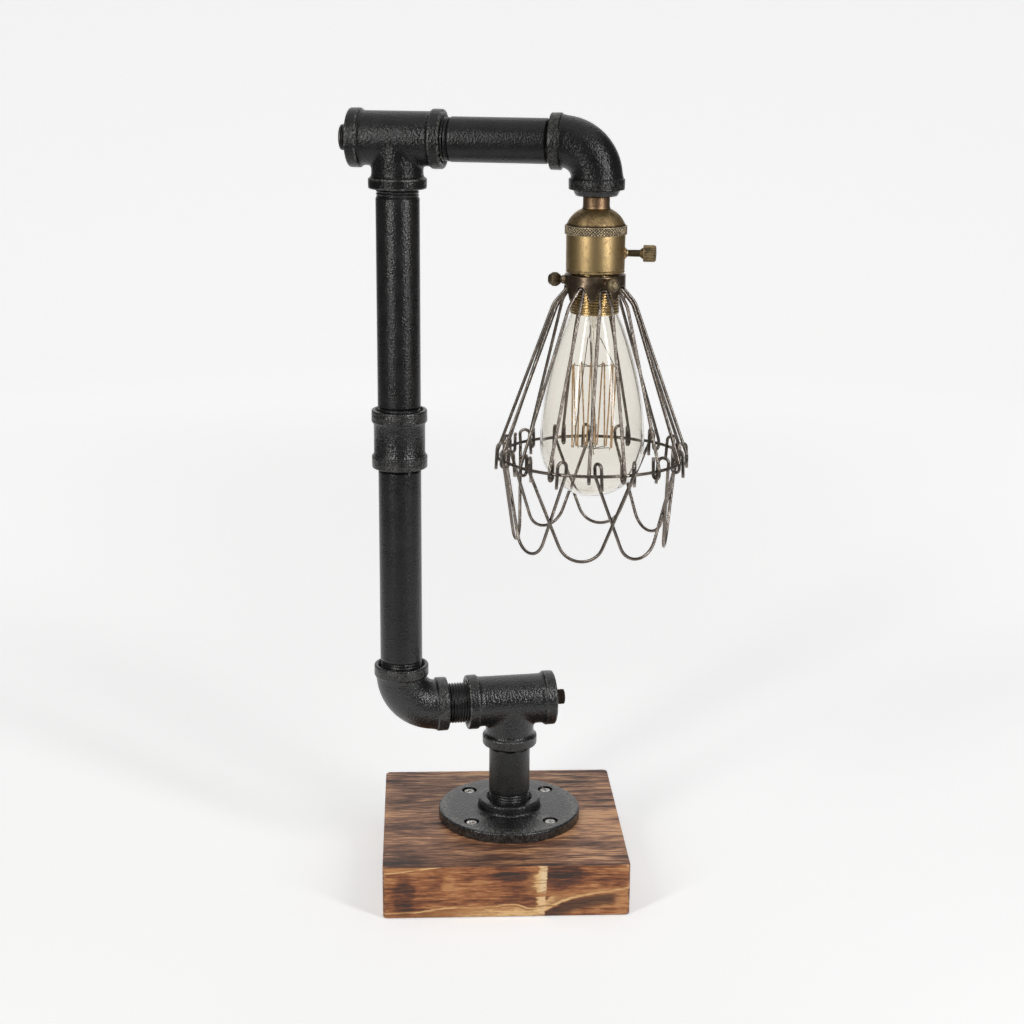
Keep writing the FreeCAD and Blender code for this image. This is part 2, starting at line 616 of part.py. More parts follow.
def make_floor_flange():
    """Round flange with a threaded hub and recessed screw holes."""
    body = new_body("floor_flange")
    revolve(body, "flange_disc", [
        (THREAD_BORE, "0"),
        ("flange_radius", "0"),
        ("flange_radius", "flange_thickness - flange_round", "flange_round"),
        ("flange_radius - flange_round", "flange_thickness"),
        ("hub_radius + flange_round", "flange_thickness", "-flange_round"),
        ("hub_radius", "flange_thickness + flange_round"),
        ("hub_radius", "hub_height - flange_round", "flange_round"),
        ("hub_radius - flange_round", "hub_height"),
        (THREAD_BORE, "hub_height"),
    ])
    seat = "flange_thickness - screw_recess"
    hole = revolve(body, "screw_hole", [
        ("screw_circle", "-1"),
        ("screw_circle + screw_shank + screw_play", "-1"),
        ("screw_circle + screw_shank + screw_play", f"{seat} - screw_head + screw_shank + countersink_rise"),
        ("screw_circle + screw_head + head_play", seat),
        ("screw_circle + recess_radius", seat),
        ("screw_circle + recess_radius", "flange_thickness + 1"),
        ("screw_circle", "flange_thickness + 1"),
    ], cut=True, offset="screw_circle")
    repeat_round(body, "screw_holes", hole, "screw_count")
    return finish(body, flange_frame)


def make_flange_screws():
    """Countersunk cross-head wood screws, one solid for each hole of the flange."""
    head, shank, length = value("screw_head"), value("screw_shank"), value("screw_length")
    tip, cross, depth = value("screw_tip"), value("drive_width"), value("drive_depth")
    top = value("flange_thickness - screw_recess")
    cone = Part.makeCone(shank, head, head - shank, Vector(0, 0, top - head + shank))
    rod = Part.makeCylinder(shank, length - tip - head + shank, Vector(0, 0, top - length + tip))
    point = Part.makeCone(0, shank, tip, Vector(0, 0, top - length))
    screw = cone.fuse([rod, point]).removeSplitter()
    span = head + shank
    for angle in (0, 90):
        slot = Part.makeBox(span, cross, depth, Vector(-span / 2, -cross / 2, top - depth))
        slot.rotate(Vector(), AXIS_Z, angle)
        screw = screw.cut(slot)
    count = int(value("screw_count"))
    screws = []
    for index in range(count):
        placed = screw.copy()
        placed.translate(Vector(value("screw_circle"), 0, 0))
        placed.rotate(Vector(), AXIS_Z, 360 / count * index)
        screws.append(placed)
    return shaped_piece("flange_screws", Part.makeCompound(screws), flange_frame)


# ---------------------------------------------------------------- pipes and fittings

def make_pipe(label, frame, show, low_show="thread_show", high_show="thread_show"):
    """Pipe between two fittings: plain in the middle, with a thread gripped at both ends."""
    root = "thread_radius - thread_height"
    outline = [("pipe_bore", "-thread_grip"), ("thread_radius", "-thread_grip"), ("thread_radius", "0")]
    if value(low_show) > value("thread_pitch"):
        outline += ridges("thread_radius", "thread_height", "thread_pitch", "0", low_show)
    outline += [
        (root, low_show),
        ("pipe_radius", f"{low_show} + pipe_radius - {root}"),
        ("pipe_radius", f"{show} - {high_show} - pipe_radius + {root}"),
        (root, f"{show} - {high_show}"),
        (root, show),
        ("thread_radius", show),
        ("thread_radius", f"{show} + thread_grip"),
        ("pipe_bore", f"{show} + thread_grip"),
    ]
    return turned_piece(label, frame, outline)


def make_close_nipple():
    """Short nipple that is threaded all over, along the lower arm."""
    outline = [("pipe_bore", "-thread_grip"), ("thread_radius", "-thread_grip")]
    outline += ridges("thread_radius", "thread_height", "thread_pitch", "0", "close_nipple_show")
    outline += [
        ("thread_radius", "close_nipple_show"),
        ("thread_radius", "close_nipple_show + thread_grip"),
        ("pipe_bore", "close_nipple_show + thread_grip"),
    ]
    frame = tipped_frame(moved_frame(lower_elbow_frame, x=value("lower_elbow_reach")), AXIS_Y, 90)
    return turned_piece("close_nipple", frame, outline)


def make_tee(label, frame):
    """Tee with a bead around each of its three mouths; its branch points down in the lamp."""
    body = new_body(label)
    run = run_outline("tee_half_run", "tee_body", "tee_bead", "tee_bead_width")
    revolve(body, f"{label}_run", swapped(run), "H_Axis")
    branch = leg_outline("0", "tee_reach", "tee_neck", "tee_bead", "tee_bead_width")
    revolve(body, f"{label}_branch", branch)
    revolve(body, f"{label}_run_bore", swapped(run_bore("tee_half_run")), "H_Axis", cut=True)
    revolve(body, f"{label}_branch_bore", leg_bore("0", "tee_reach"), cut=True)
    return finish(body, tipped_frame(frame, AXIS_X, 180))


def make_elbow(label, frame, prefix):
    """Elbow with a bead around both mouths, from its +Z leg to its +X leg."""
    reach, radius, bead = f"{prefix}_reach", f"{prefix}_body", f"{prefix}_bead"
    width, bend = f"{prefix}_width", f"{prefix}_bend"
    body = new_body(label)
    swing(body, f"{label}_bend", radius, bend)
    leg = leg_outline(bend, reach, radius, bead, width)
    revolve(body, f"{label}_upright", leg)
    revolve(body, f"{label}_level", swapped(leg), "H_Axis")
    swing(body, f"{label}_bend_bore", "way_radius", bend, cut=True)
    bore = leg_bore(f"{reach} - {THREAD_DEPTH} - thread_spare", reach)
    revolve(body, f"{label}_upright_bore", bore, cut=True)
    revolve(body, f"{label}_level_bore", swapped(bore), "H_Axis", cut=True)
    return finish(body, frame)


def make_coupling():
    """Straight coupling of the column, in which the upper column turns."""
    body = new_body("column_coupling")
    outline = run_outline("coupling_half", "coupling_body", "coupling_bead", "coupling_width")
    revolve(body, "coupling_run", outline)
    revolve(body, "coupling_bore", run_bore("coupling_half"), cut=True)
    return finish(body, coupling_frame)


def make_top_tee_plug():
    """Plug screwed into the top tee's free end, with a round-ended threaded stub outside."""
    outline = [
        ("0", "-thread_grip"),
        ("thread_radius", "-thread_grip"),
        ("thread_radius", "0"),
        *ridges("plug_stub_radius", "plug_thread_height", "thread_pitch", "0",
                "plug_stub_length - plug_round"),
        ("plug_stub_radius", "plug_stub_length - plug_round", "plug_round"),
        ("plug_stub_radius - plug_round", "plug_stub_length"),
        ("0", "plug_stub_length"),
    ]
    frame = tipped_frame(moved_frame(upper_frame, x=-value("tee_half_run")), AXIS_Y, -90)
    return turned_piece("top_tee_plug", frame, outline)


def make_cord_outlet():
    """Plug, washer and hollow threaded tube through which the cord enters the base tee."""
    frame = tipped_frame(moved_frame(lower_frame, x=value("tee_half_run")), AXIS_Y, 90)
    hole = "(outlet_radius + thread_fit)"
    turned_piece("outlet_plug", frame, [
        (hole, "-thread_grip"),
        ("thread_radius", "-thread_grip"),
        ("thread_radius", "0"),
        (hole, "0"),
    ])
    turned_piece("outlet_washer", frame, [
        (hole, "0"),
        ("outlet_washer_radius", "0"),
        ("outlet_washer_radius", "outlet_washer_thickness"),
        (hole, "outlet_washer_thickness"),
    ])
    turned_piece("outlet_tube", frame, [
        ("outlet_bore", "-thread_grip"),
        ("outlet_radius", "-thread_grip"),
        ("outlet_radius", "outlet_washer_thickness"),
        *ridges("outlet_radius", "outlet_thread_height", "outlet_pitch", "outlet_washer_thickness",
                "outlet_stub - outlet_pitch / 2"),
        ("outlet_radius - outlet_thread_height", "outlet_washer_thickness + outlet_stub"),
        ("outlet_bore", "outlet_washer_thickness + outlet_stub"),
    ])


# ---------------------------------------------------------------- lampholder

def make_reducer_bushing():
    """Reducer from the arm elbow's thread to the lamp nipple."""
    hole = "(outlet_radius + thread_fit)"
    return turned_piece("reducer_bushing", bushing_frame, [
        (hole, "-bushing_flange"),
        ("bushing_foot", "-bushing_flange"),
        ("bushing_top", "0"),
        ("thread_radius", "0"),
        ("thread_radius", "thread_grip"),
        (hole, "thread_grip"),
    ])


def make_lamp_nipple():
    """Hollow threaded nipple that hangs the lampholder from the reducer."""
    low = "-bushing_flange - cap_neck_height - neck_tube_drop"
    return turned_piece("lamp_nipple", bushing_frame, [
        ("outlet_bore", low),
        ("outlet_radius", low),
        ("outlet_radius", "thread_grip"),
        ("outlet_bore", "thread_grip"),
    ])


def make_socket_cap():
    """Domed brass cap with a plain neck."""
    hole = "(outlet_radius + thread_fit)"
    inner_curve = "(cap_dome_curve - brass_wall)"
    return turned_piece("socket_cap", cap_frame, [
        ("cap_radius - brass_wall", "0"),
        ("cap_radius", "0", "cap_dome_curve"),
        ("cap_neck_radius", "cap_dome_height"),
        ("cap_neck_radius", "cap_dome_height + cap_neck_height"),
        (hole, "cap_dome_height + cap_neck_height"),
        (hole, "cap_dome_height - brass_wall"),
        ("cap_neck_radius - brass_wall", "cap_dome_height - brass_wall", f"-{inner_curve}"),
    ])


def make_socket_ring():
    """Knurled ring around the seam of cap and shell."""
    frame = moved_frame(cap_frame, z=-value("seam_gap + ring_height"))
    return turned_piece("socket_ring", frame, [
        ("shell_radius + shaft_fit", "0"),
        ("ring_radius - ring_round", "0", "ring_round"),
        ("ring_radius", "ring_round"),
        ("ring_radius", "ring_height - ring_round", "ring_round"),
        ("ring_radius - ring_round", "ring_height"),
        ("shell_radius + shaft_fit", "ring_height"),
    ])


def cross_bore(body, name, start, stop, radius, height):
    """Round hole along the body's X axis at a height, from one distance to another."""
    return revolve(body, name, [
        (start, height),
        (stop, height),
        (stop, f"{height} + {radius}"),
        (start, f"{height} + {radius}"),
    ], "H_Axis", cut=True, offset=height)


def make_socket_shell():
    """Brass shell with an inner foot flange and the key's hole."""
    body = new_body("socket_shell")
    revolve(body, "shell_wall", [
        ("sleeve_radius + sleeve_fit", "0"),
        ("shell_radius - shell_round", "0", "shell_round"),
        ("shell_radius", "shell_round"),
        ("shell_radius", "shell_height"),
        ("shell_radius - brass_wall", "shell_height"),
        ("shell_radius - brass_wall", "brass_wall"),
        ("sleeve_radius + sleeve_fit", "brass_wall"),
    ])
    hole = "(key_shaft_radius + shaft_fit)"
    cross_bore(body, "shell_key_hole", "0", "shell_radius + 1", hole, "key_height")
    return finish(body, turned_frame(shell_frame, value("key_turn")))


def make_shell_liner():
    """Insulating paper liner inside the shell."""
    body = new_body("shell_liner")
    outer = "(shell_radius - brass_wall - liner_gap)"
    revolve(body, "liner_wall", [
        (f"{outer} - liner_wall", "0"),
        (outer, "0"),
        (outer, "shell_height - 2 * brass_wall"),
        (f"{outer} - liner_wall", "shell_height - 2 * brass_wall"),
    ])
    cross_bore(body, "liner_key_hole", "0", "shell_radius", "(key_shaft_radius + rotor_room)",
             "key_height - brass_wall")
    return finish(body, moved_frame(turned_frame(shell_frame, value("key_turn")), z=value("brass_wall")))


def make_switch_body():
    """Moulded switch body with the rotor's chamber, terminal holes and the rivet's hole."""
    body = new_body("switch_body")
    radius = "(shell_radius - brass_wall - liner_gap - liner_wall - body_wall_gap)"
    height = "(key_height - body_bottom)"
    revolve(body, "switch_block", [("0", "0"), (radius, "0"), (radius, BODY_HEIGHT), ("0", BODY_HEIGHT)])
    cross_bore(body, "rotor_chamber", "-rotor_half - rotor_room", "rotor_half + rotor_room",
             "(rotor_radius + rotor_room)", height)
    cross_bore(body, "key_passage", "0", "shell_radius", "(key_shaft_radius + shaft_fit)", height)
    revolve(body, "rivet_hole", [
        ("0", "-1"),
        ("contact_stem + shaft_fit", "-1"),
        ("contact_stem + shaft_fit", "contact_stem_length + shaft_fit"),
        ("0", "contact_stem_length + shaft_fit"),
    ], cut=True)
    hole = revolve(body, "terminal_hole", [
        ("terminal_offset", f"{BODY_HEIGHT} - terminal_depth - shaft_fit"),
        ("terminal_offset + terminal_shank + shaft_fit", f"{BODY_HEIGHT} - terminal_depth - shaft_fit"),
        ("terminal_offset + terminal_shank + shaft_fit", f"{BODY_HEIGHT} + 1"),
        ("terminal_offset", f"{BODY_HEIGHT} + 1"),
    ], cut=True, offset="terminal_offset")
    repeat_round(body, "terminal_holes", hole, "terminal_count")
    return finish(body, turned_frame(body_frame, value("key_turn")))


def make_terminal_screws():
    """Two cheese-head terminal screws on top of the switch body."""
    head, shank = value("terminal_radius"), value("terminal_shank")
    height, depth = value("terminal_head"), value("terminal_depth")
    offset, slot = value("terminal_offset"), value("terminal_head") / 2
    screws = []
    count = int(value("terminal_count"))
    for index in range(count):
        centre = at_bearing(offset, 360 / count * index, 0)
        pin = Part.makeCylinder(shank, depth, centre - AXIS_Z * depth)
        screw = Part.makeCylinder(head, height, centre).fuse(pin)
        cut = Part.makeBox(2 * head, slot, slot, centre + Vector(-head, -slot / 2, height - slot))
        screws.append(screw.cut(cut))
    frame = moved_frame(turned_frame(body_frame, value("key_turn")), z=value(BODY_HEIGHT))
    return shaped_piece("terminal_screws", Part.makeCompound(screws), frame)


def make_centre_contact():
    """Sprung contact disc, riveted under the switch body."""
    return turned_piece("centre_contact", body_frame, [
        ("0", "-contact_thickness"),
        ("contact_radius", "-contact_thickness"),
        ("contact_radius", "0"),
        ("contact_stem", "0"),
        ("contact_stem", "contact_stem_length"),
        ("0", "contact_stem_length"),
    ])


def make_screw_shell():
    """Inner shell that takes the bulb's cap, closed at its top around the centre contact."""
    outer = "(screw_shell_bore + screw_shell_wall)"
    return turned_piece("screw_shell", body_frame, [
        ("screw_shell_bore", "-screw_shell_height"),
        (outer, "-screw_shell_height"),
        (outer, "0"),
        ("screw_shell_hole", "0"),
        ("screw_shell_hole", "-screw_shell_wall"),
        ("screw_shell_bore", "-screw_shell_wall"),
    ])


def make_threaded_sleeve():
    """Outer threaded sleeve that hangs on the shell's foot flange and carries the cage."""
    seat = "(sleeve_drop + brass_wall)"
    return turned_piece("threaded_sleeve", moved_frame(shell_frame, z=-value("sleeve_drop")), [
        ("sleeve_bore", "0"),
        *ridges("sleeve_radius", "sleeve_thread_height", "sleeve_pitch", "0", "sleeve_drop"),
        ("sleeve_radius", "sleeve_drop"),
        ("sleeve_radius", f"{seat} + shaft_fit"),
        ("sleeve_flange", f"{seat} + shaft_fit"),
        ("sleeve_flange", f"{seat} + brass_wall"),
        ("sleeve_bore", f"{seat} + brass_wall"),
    ])


def make_switch_key():
    """Turn key: shaft into the switch rotor, collar, fluted knob with a domed end."""
    body = new_body("switch_key")
    start = "(rotor_half - rotor_room)"
    knob = "(key_shaft_out + key_neck_length)"
    tip = "(key_shaft_out + key_knob_length)"
    revolve(body, "key_turning", swapped([
        ("0", start),
        ("key_shaft_radius", start),
        ("key_shaft_radius", "key_shaft_out"),
        ("key_knob_neck", "key_shaft_out"),
        ("key_knob_neck", knob),
        ("key_knob_radius", knob),
        ("key_knob_radius", f"{tip} - key_neck_length", "key_knob_dome"),
        ("0", tip),
    ]), "H_Axis")
    document.recompute()
    flute = attached_sketch(body, "flute_section", "YZ_Plane", knob)
    circle = flute.addGeometry(Part.Circle(Vector(value("key_knob_radius"), 0, 0), AXIS_Z,
                                           value("key_flute_radius")), False)
    hold_point(flute, circle, 3, "key_knob_radius", "0")
    datum = flute.addConstraint(Sketcher.Constraint("Radius", circle, value("key_flute_radius")))
    bind(flute, f"Constraints[{datum}]", "key_flute_radius")
    groove = body.newObject("PartDesign::Pocket", "flute")
    groove.Profile = flute
    groove.Reversed = True
    bind(groove, "Length", "key_knob_length")
    body.Tip = groove
    document.recompute()
    pattern = body.newObject("PartDesign::PolarPattern", "flutes")
    pattern.Originals = [groove]
    pattern.Axis = (origin_feature(body, "X_Axis"), [""])
    pattern.Angle = 360
    pattern.Occurrences = int(value("key_flutes"))
    bind(pattern, "Occurrences", "key_flutes")
    body.Tip = pattern
    return finish(body, key_frame)


def make_switch_rotor():
    """Four-sided cam that the key turns inside the switch body."""
    half, radius = value("rotor_half"), value("rotor_radius")
    flat, room = value("rotor_flat"), value("rotor_room")
    rotor = Part.makeCylinder(radius, 2 * half, Vector(-half, 0, 0), AXIS_X)
    block = Part.makeBox(2 * half, 2 * flat, 2 * flat, Vector(-half, -flat, -flat))
    bore = value("key_shaft_radius + shaft_fit")
    socket = Part.makeCylinder(bore, 2 * room, Vector(half - room, 0, 0), AXIS_X)
    return shaped_piece("switch_rotor", rotor.common(block).cut(socket), key_frame)


# ---------------------------------------------------------------- bulb

def make_bulb_glass():
    """Pear-shaped glass: a round end, a long flank tangent to it and a tail in the cap."""
    equator = "(-bulb_length + bulb_radius)"
    drop, rise = "(bulb_radius - bulb_neck)", "(bulb_length - bulb_radius - bulb_neck_depth)"
    flank = f"(({rise} * {rise} + {drop} * {drop}) / (2 * {drop}))"
    return turned_piece("bulb_glass", bulb_frame, [
        ("0", "-bulb_length", "bulb_radius"),
        ("bulb_radius", equator, flank),
        ("bulb_neck", "-bulb_neck_depth"),
        ("bulb_tail", "-bulb_cap_depth"),
        ("bulb_tail", f"-{TAIL_DEPTH}"),
        ("bulb_tail - bulb_wall", f"-{TAIL_DEPTH}"),
        ("bulb_tail - bulb_wall", "-bulb_cap_depth"),
        ("bulb_neck - bulb_wall", "-bulb_neck_depth", f"-({flank} - bulb_wall)"),
        ("bulb_radius - bulb_wall", equator, "-(bulb_radius - bulb_wall)"),
        ("0", "-bulb_length + bulb_wall"),
    ])


def make_bulb_cap():
    """Screw cap of the bulb with rounded thread turns."""
    outer, inner = "bulb_cap_radius", "(bulb_tail + bulb_cap_cement)"
    first = "(-bulb_cap_shoulder - bulb_cap_turns * bulb_cap_pitch)"
    length = "(bulb_cap_turns * bulb_cap_pitch)"
    return turned_piece("bulb_cap", bulb_frame, [
        (inner, "-bulb_cap_depth"),
        (outer, "-bulb_cap_depth"),
        (outer, f"{first} - bulb_cap_wall"),
        *ridges(outer, "bulb_thread_height", "bulb_cap_pitch", first, length),
        ("bulb_insulator", "-bulb_button_height - bulb_cap_wall"),
        ("bulb_insulator", "-bulb_button_height - 2 * bulb_cap_wall"),
        (f"{outer} - bulb_thread_height - 2 * bulb_cap_wall", "-bulb_cap_shoulder - bulb_cap_wall"),
        (f"{outer} - bulb_thread_height - 2 * bulb_cap_wall", f"-{TAIL_DEPTH} + bulb_cap_wall"),
        (inner, f"-{TAIL_DEPTH} + bulb_cap_wall"),
    ])


def make_bulb_contact():
    """Insulator and contact button on top of the bulb's cap, as one pressed part each."""
    top = value("bulb_button_height")
    wall = value("bulb_cap_wall")
    button = Part.makeCylinder(value("bulb_button"), top, Vector(0, 0, -top))
    foot = Vector(0, 0, -top - 2 * wall)
    insulator = Part.makeCylinder(value("bulb_insulator - shaft_fit"), 2 * wall, foot)
    return shaped_piece("bulb_contact", Part.makeCompound([button, insulator]), bulb_frame)


def make_bulb_stem():
    """Glass stem: flare, tube, bead and the long rod that carries the supports."""
    flare = "(bulb_tail - bulb_wall - stem_gap)"
    return turned_piece("bulb_stem", bulb_frame, [
        ("0", "-rod_end"),
        ("rod_radius", "-rod_end"),
        ("rod_radius", "-stem_bead_depth - stem_bead"),
        ("stem_bead", "-stem_bead_depth"),
        ("stem_radius", "-stem_bead_depth + stem_bead"),
        ("stem_radius", f"-stem_top - {flare}"),
        (flare, "-stem_top"),
        ("0", "-stem_top"),
    ])


def swept_wire(points, bends, radius):
    """Round wire along straight runs joined by tangent arcs, as one solid."""
    edges = []
    start = points[0]
    for before, corner, after, bend in zip(points, points[1:], points[2:], bends):
        back = (before - corner).normalize()
        ahead = (after - corner).normalize()
        half_turn = (math.pi - back.getAngle(ahead)) / 2
        arc_start = corner + back * (bend * math.tan(half_turn))
        arc_stop = corner + ahead * (bend * math.tan(half_turn))
        arc_middle = corner + (back + ahead).normalize() * (bend / math.cos(half_turn) - bend)
        if start.distanceToPoint(arc_start) > LEAST_RUN:
            edges.append(Part.LineSegment(start, arc_start).toShape())
        edges.append(Part.Arc(arc_start, arc_middle, arc_stop).toShape())
        start = arc_stop
    edges.append(Part.LineSegment(start, points[-1]).toShape())
    section = Part.Wire([Part.Circle(points[0], points[1] - points[0], radius).toShape()])
    solid = Part.Wire(edges).makePipeShell([section], True, False)
    expected = math.pi * radius ** 2 * sum(edge.Length for edge in edges)
    if abs(solid.Volume / expected - 1) > SWEEP_TOLERANCE:
        raise ValueError(f"swept wire has {solid.Volume:.2f} mm3 in place of {expected:.2f} mm3")
    return solid


LEAST_RUN = 1e-4
SWEEP_TOLERANCE = 0.01


def at_bearing(radius, bearing, height):
    """Point at a distance from the Z axis, on a bearing in degrees."""
    angle = math.radians(bearing)
    return Vector(radius * math.cos(angle), radius * math.sin(angle), height)


def make_bulb_filament():
    """Squirrel-cage filament: one wire zigzagging between upper and lower bends."""
    count = int(value("filament_hooks"))
    step = 180 / count
    points = []
    for index in range(2 * count):
        upper = index % 2 == 0
        radius = value("filament_top_radius" if upper else "filament_foot_radius")
        depth = value("filament_top" if upper else "filament_bottom")
        points.append(at_bearing(radius, value("filament_twist") + index * step, -depth))
    bends = [value("filament_bend")] * (len(points) - 2)
    wire = swept_wire(points, bends, value("filament_wire"))
    return shaped_piece("bulb_filament", wire, bulb_frame)


def make_bulb_supports():
    """Support spokes of the filament and the two feed wires from the stem's bead."""
    count = int(value("filament_hooks"))
    wire, rod = value("support_wire"), value("rod_radius + support_gap")
    clear = value("filament_wire + support_wire + support_gap")
    step = 180 / count
    supports = []
    for index in range(1, 2 * count - 1):
        upper = index % 2 == 0
        reach = value("filament_top_radius" if upper else "filament_foot_radius")
        depth = value("filament_top" if upper else "filament_bottom")
        bearing = value("filament_twist") + index * step
        foot = at_bearing(rod, bearing, -depth)
        supports.append(Part.makeCylinder(wire, reach - clear - rod, foot, at_bearing(1, bearing, 0)))
    last = 2 * count - 1
    for index, depth_name, radius_name in ((0, "filament_top", "filament_top_radius"),
                                           (last, "filament_bottom", "filament_foot_radius")):
        bearing = value("filament_twist") + index * step
        target = at_bearing(value(radius_name) - clear, bearing, -value(depth_name))
        start = value("stem_bead + support_gap + support_wire")
        source = at_bearing(start, bearing, -value("stem_bead_depth"))
        supports.append(Part.makeCylinder(wire, source.distanceToPoint(target), source, target - source))
    return shaped_piece("bulb_supports", Part.makeCompound(supports), bulb_frame)


# ---------------------------------------------------------------- cage

def make_cage_collar():
    """Collar with a lip around the sleeve, a boss for each thumb screw and triangular fingers."""
    body = new_body("cage_collar")
    wall = "(collar_radius - collar_wall)"
    revolve(body, "collar_band", [
        (wall, "-collar_height"),
        ("collar_radius", "-collar_height"),
        ("collar_radius", "-collar_round", "collar_round"),
        ("collar_radius - collar_round", "0"),
        ("collar_bore", "0"),
        ("collar_bore", "-collar_lip"),
        (wall, "-collar_lip"),
    ])
    boss = revolve(body, "boss", [
        ("collar_radius - collar_wall / 2", "-thumb_drop"),
        ("collar_radius + thumb_boss_out", "-thumb_drop"),
        ("collar_radius + thumb_boss_out", "-thumb_drop + thumb_boss_radius"),
        ("collar_radius - collar_wall / 2", "-thumb_drop + thumb_boss_radius"),
    ], "H_Axis", offset="-thumb_drop")
    repeat_round(body, "bosses", boss, "thumb_count")
    hole = cross_bore(body, "thumb_hole", "collar_bore", "collar_radius + thumb_boss_out + 1",
                    "(thumb_shank + shaft_fit)", "-thumb_drop")
    repeat_round(body, "thumb_holes", hole, "thumb_count")
    slit = attached_sketch(body, "slit_outline", "YZ_Plane")
    slit.AttachmentOffset = Placement(Vector(), Rotation(AXIS_Y, value("cage_bearing - thumb_bearing")))
    side = "(pi / finger_count * collar_radius - finger_tip)"
    shoulder = "(finger_slit_radius * cos(finger_slit_slope * 1 deg))"
    shoulder_drop = "-finger_slit_drop - finger_slit_radius * (1 - sin(finger_slit_slope * 1 deg))"
    draw_outline(slit, [
        (f"-{side}", "-collar_height - 1"),
        (side, "-collar_height - 1"),
        (shoulder, shoulder_drop, "finger_slit_radius"),
        (f"-{shoulder}", shoulder_drop),
    ])
    cut = body.newObject("PartDesign::Pocket", "slit")
    cut.Profile = slit
    cut.Reversed = True
    bind(cut, "Length", "collar_radius + 1")
    body.Tip = cut
    document.recompute()
    repeat_round(body, "slits", cut, "finger_count")
    return finish(body, turned_frame(collar_frame, value("thumb_bearing")))


def make_thumb_screws():
    """Thumb screws that clamp the collar to the threaded sleeve."""
    count = int(value("thumb_count"))
    start = "(sleeve_radius + thumb_tip_gap)"
    shoulder = "(collar_radius + thumb_boss_out + shaft_fit)"
    knob = f"({shoulder} + thumb_neck_length)"
    tip = f"({knob} + thumb_knob_length)"
    for index in range(count):
        bearing = value("thumb_bearing") + 360 / count * index
        frame = moved_frame(turned_frame(collar_frame, bearing), z=-value("thumb_drop"))
        turned_piece(f"thumb_screw_{index + 1}", frame, swapped([
            ("0", start),
            ("thumb_shank", start),
            ("thumb_shank", shoulder),
            ("thumb_neck", shoulder),
            ("thumb_neck", knob),
            ("thumb_knob_radius - thumb_knob_round", knob, "thumb_knob_round"),
            ("thumb_knob_radius", f"{knob} + thumb_knob_round"),
            ("thumb_knob_radius", f"{tip} - thumb_knob_round", "thumb_knob_round"),
            ("thumb_knob_radius - thumb_knob_round", tip),
            ("0", tip),
        ]), "H_Axis")


def rib_leg(side):
    """Points of one leg of a hairpin, from its top to its tail, and the bends between them."""
    drop = value("cage_drop")
    top_bearing = math.degrees(math.asin(value("rib_top_half / rib_top_radius")))
    foot = -value("rib_twist") + side * value("rib_foot_spread")
    knee = -value("rib_twist") * (value("rib_knee_drop") / drop) + side * value("rib_knee_spread")
    inner, outer = value("cage_radius - rib_hook_half"), value("cage_radius + rib_hook_half")
    low = -drop - value("rib_hook_drop")
    points = [
        at_bearing(value("rib_top_radius"), side * top_bearing, -value("rib_top_drop")),
        at_bearing(value("rib_knee_radius"), knee, -value("rib_knee_drop")),
        at_bearing(outer, foot, -drop + value("rib_hook_rise")),
        at_bearing(outer, foot, low),
        at_bearing(inner, foot, low),
        at_bearing(inner, foot, -drop + value("rib_tail")),
    ]
    half = value("rib_hook_half")
    bends = [value("rib_knee_bend"), value("rib_hook_lean"), half, half]
    return points, bends


def make_cage_ribs():
    """Hairpin ribs: each hangs in a slit of the collar and hooks under the ring on both legs."""
    left, left_bends = rib_leg(-1)
    right, right_bends = rib_leg(1)
    half = value("rib_top_half")
    bends = left_bends[::-1] + [half, half] + right_bends
    shape = swept_wire(left[::-1] + right, bends, value("wire_radius"))
    count = int(value("finger_count"))
    for index in range(count):
        frame = turned_frame(collar_frame, value("cage_bearing") + 360 / count * index)
        shaped_piece(f"cage_rib_{index + 1}", shape, frame)


def make_cage_ring():
    """Ring that the ribs and the petals hook on."""
    ring = document.addObject("Part::Torus", "cage_ring")
    ring.Label = "cage_ring"
    bind(ring, "Radius1", "cage_radius")
    bind(ring, "Radius2", "wire_radius")
    return finish(ring, cage_frame)


def petal_wire(outside):
    """Wire of one petal about its hinge line, which is its frame's Y axis.

    X points away from the cage.  The legs pass outside the ring, or inside it for every
    second petal, so that neighbours cross without touching.
    """
    side = 1 if outside else -1
    half = value("petal_hook_half")
    width = value("cage_radius") * math.sin(math.radians(value("petal_half_angle")))
    round_end, drop, rise = value("petal_round"), value("petal_drop"), value("petal_hook_rise")
    slope = math.atan2(width, drop - round_end) - math.asin(round_end / math.hypot(width, drop - round_end))
    apex = width / math.tan(slope)
    leg = [
        Vector(-side * half, width, -value("petal_tail")),
        Vector(-side * half, width, rise),
        Vector(side * half, width, rise),
        Vector(side * half, width, 0),
    ]
    other = [Vector(point.x, -point.y, point.z) for point in leg]
    points = leg + [Vector(side * half, 0, -apex)] + other[::-1]
    bend = value("petal_bend")
    bends = [half, half, bend, round_end, bend, half, half]
    return swept_wire(points, bends, value("wire_radius"))


def make_petals():
    """Petals: wire loops that hang on the ring by two hooks each and swing about them."""
    count = int(value("petal_count"))
    middle = value("cage_radius") * math.cos(math.radians(value("petal_half_angle")))
    shapes = {True: petal_wire(True), False: petal_wire(False)}
    for index in range(count):
        outside = index % 2 == 0
        lean = value("petal_lean") if outside else -value("petal_lean")
        frame = turned_frame(cage_frame, value("petal_bearing") + 360 / count * index)
        hinge = tipped_frame(moved_frame(frame, x=middle), AXIS_Y, lean)
        shaped_piece(f"petal_{index + 1}", shapes[outside], hinge)


# ---------------------------------------------------------------- lead

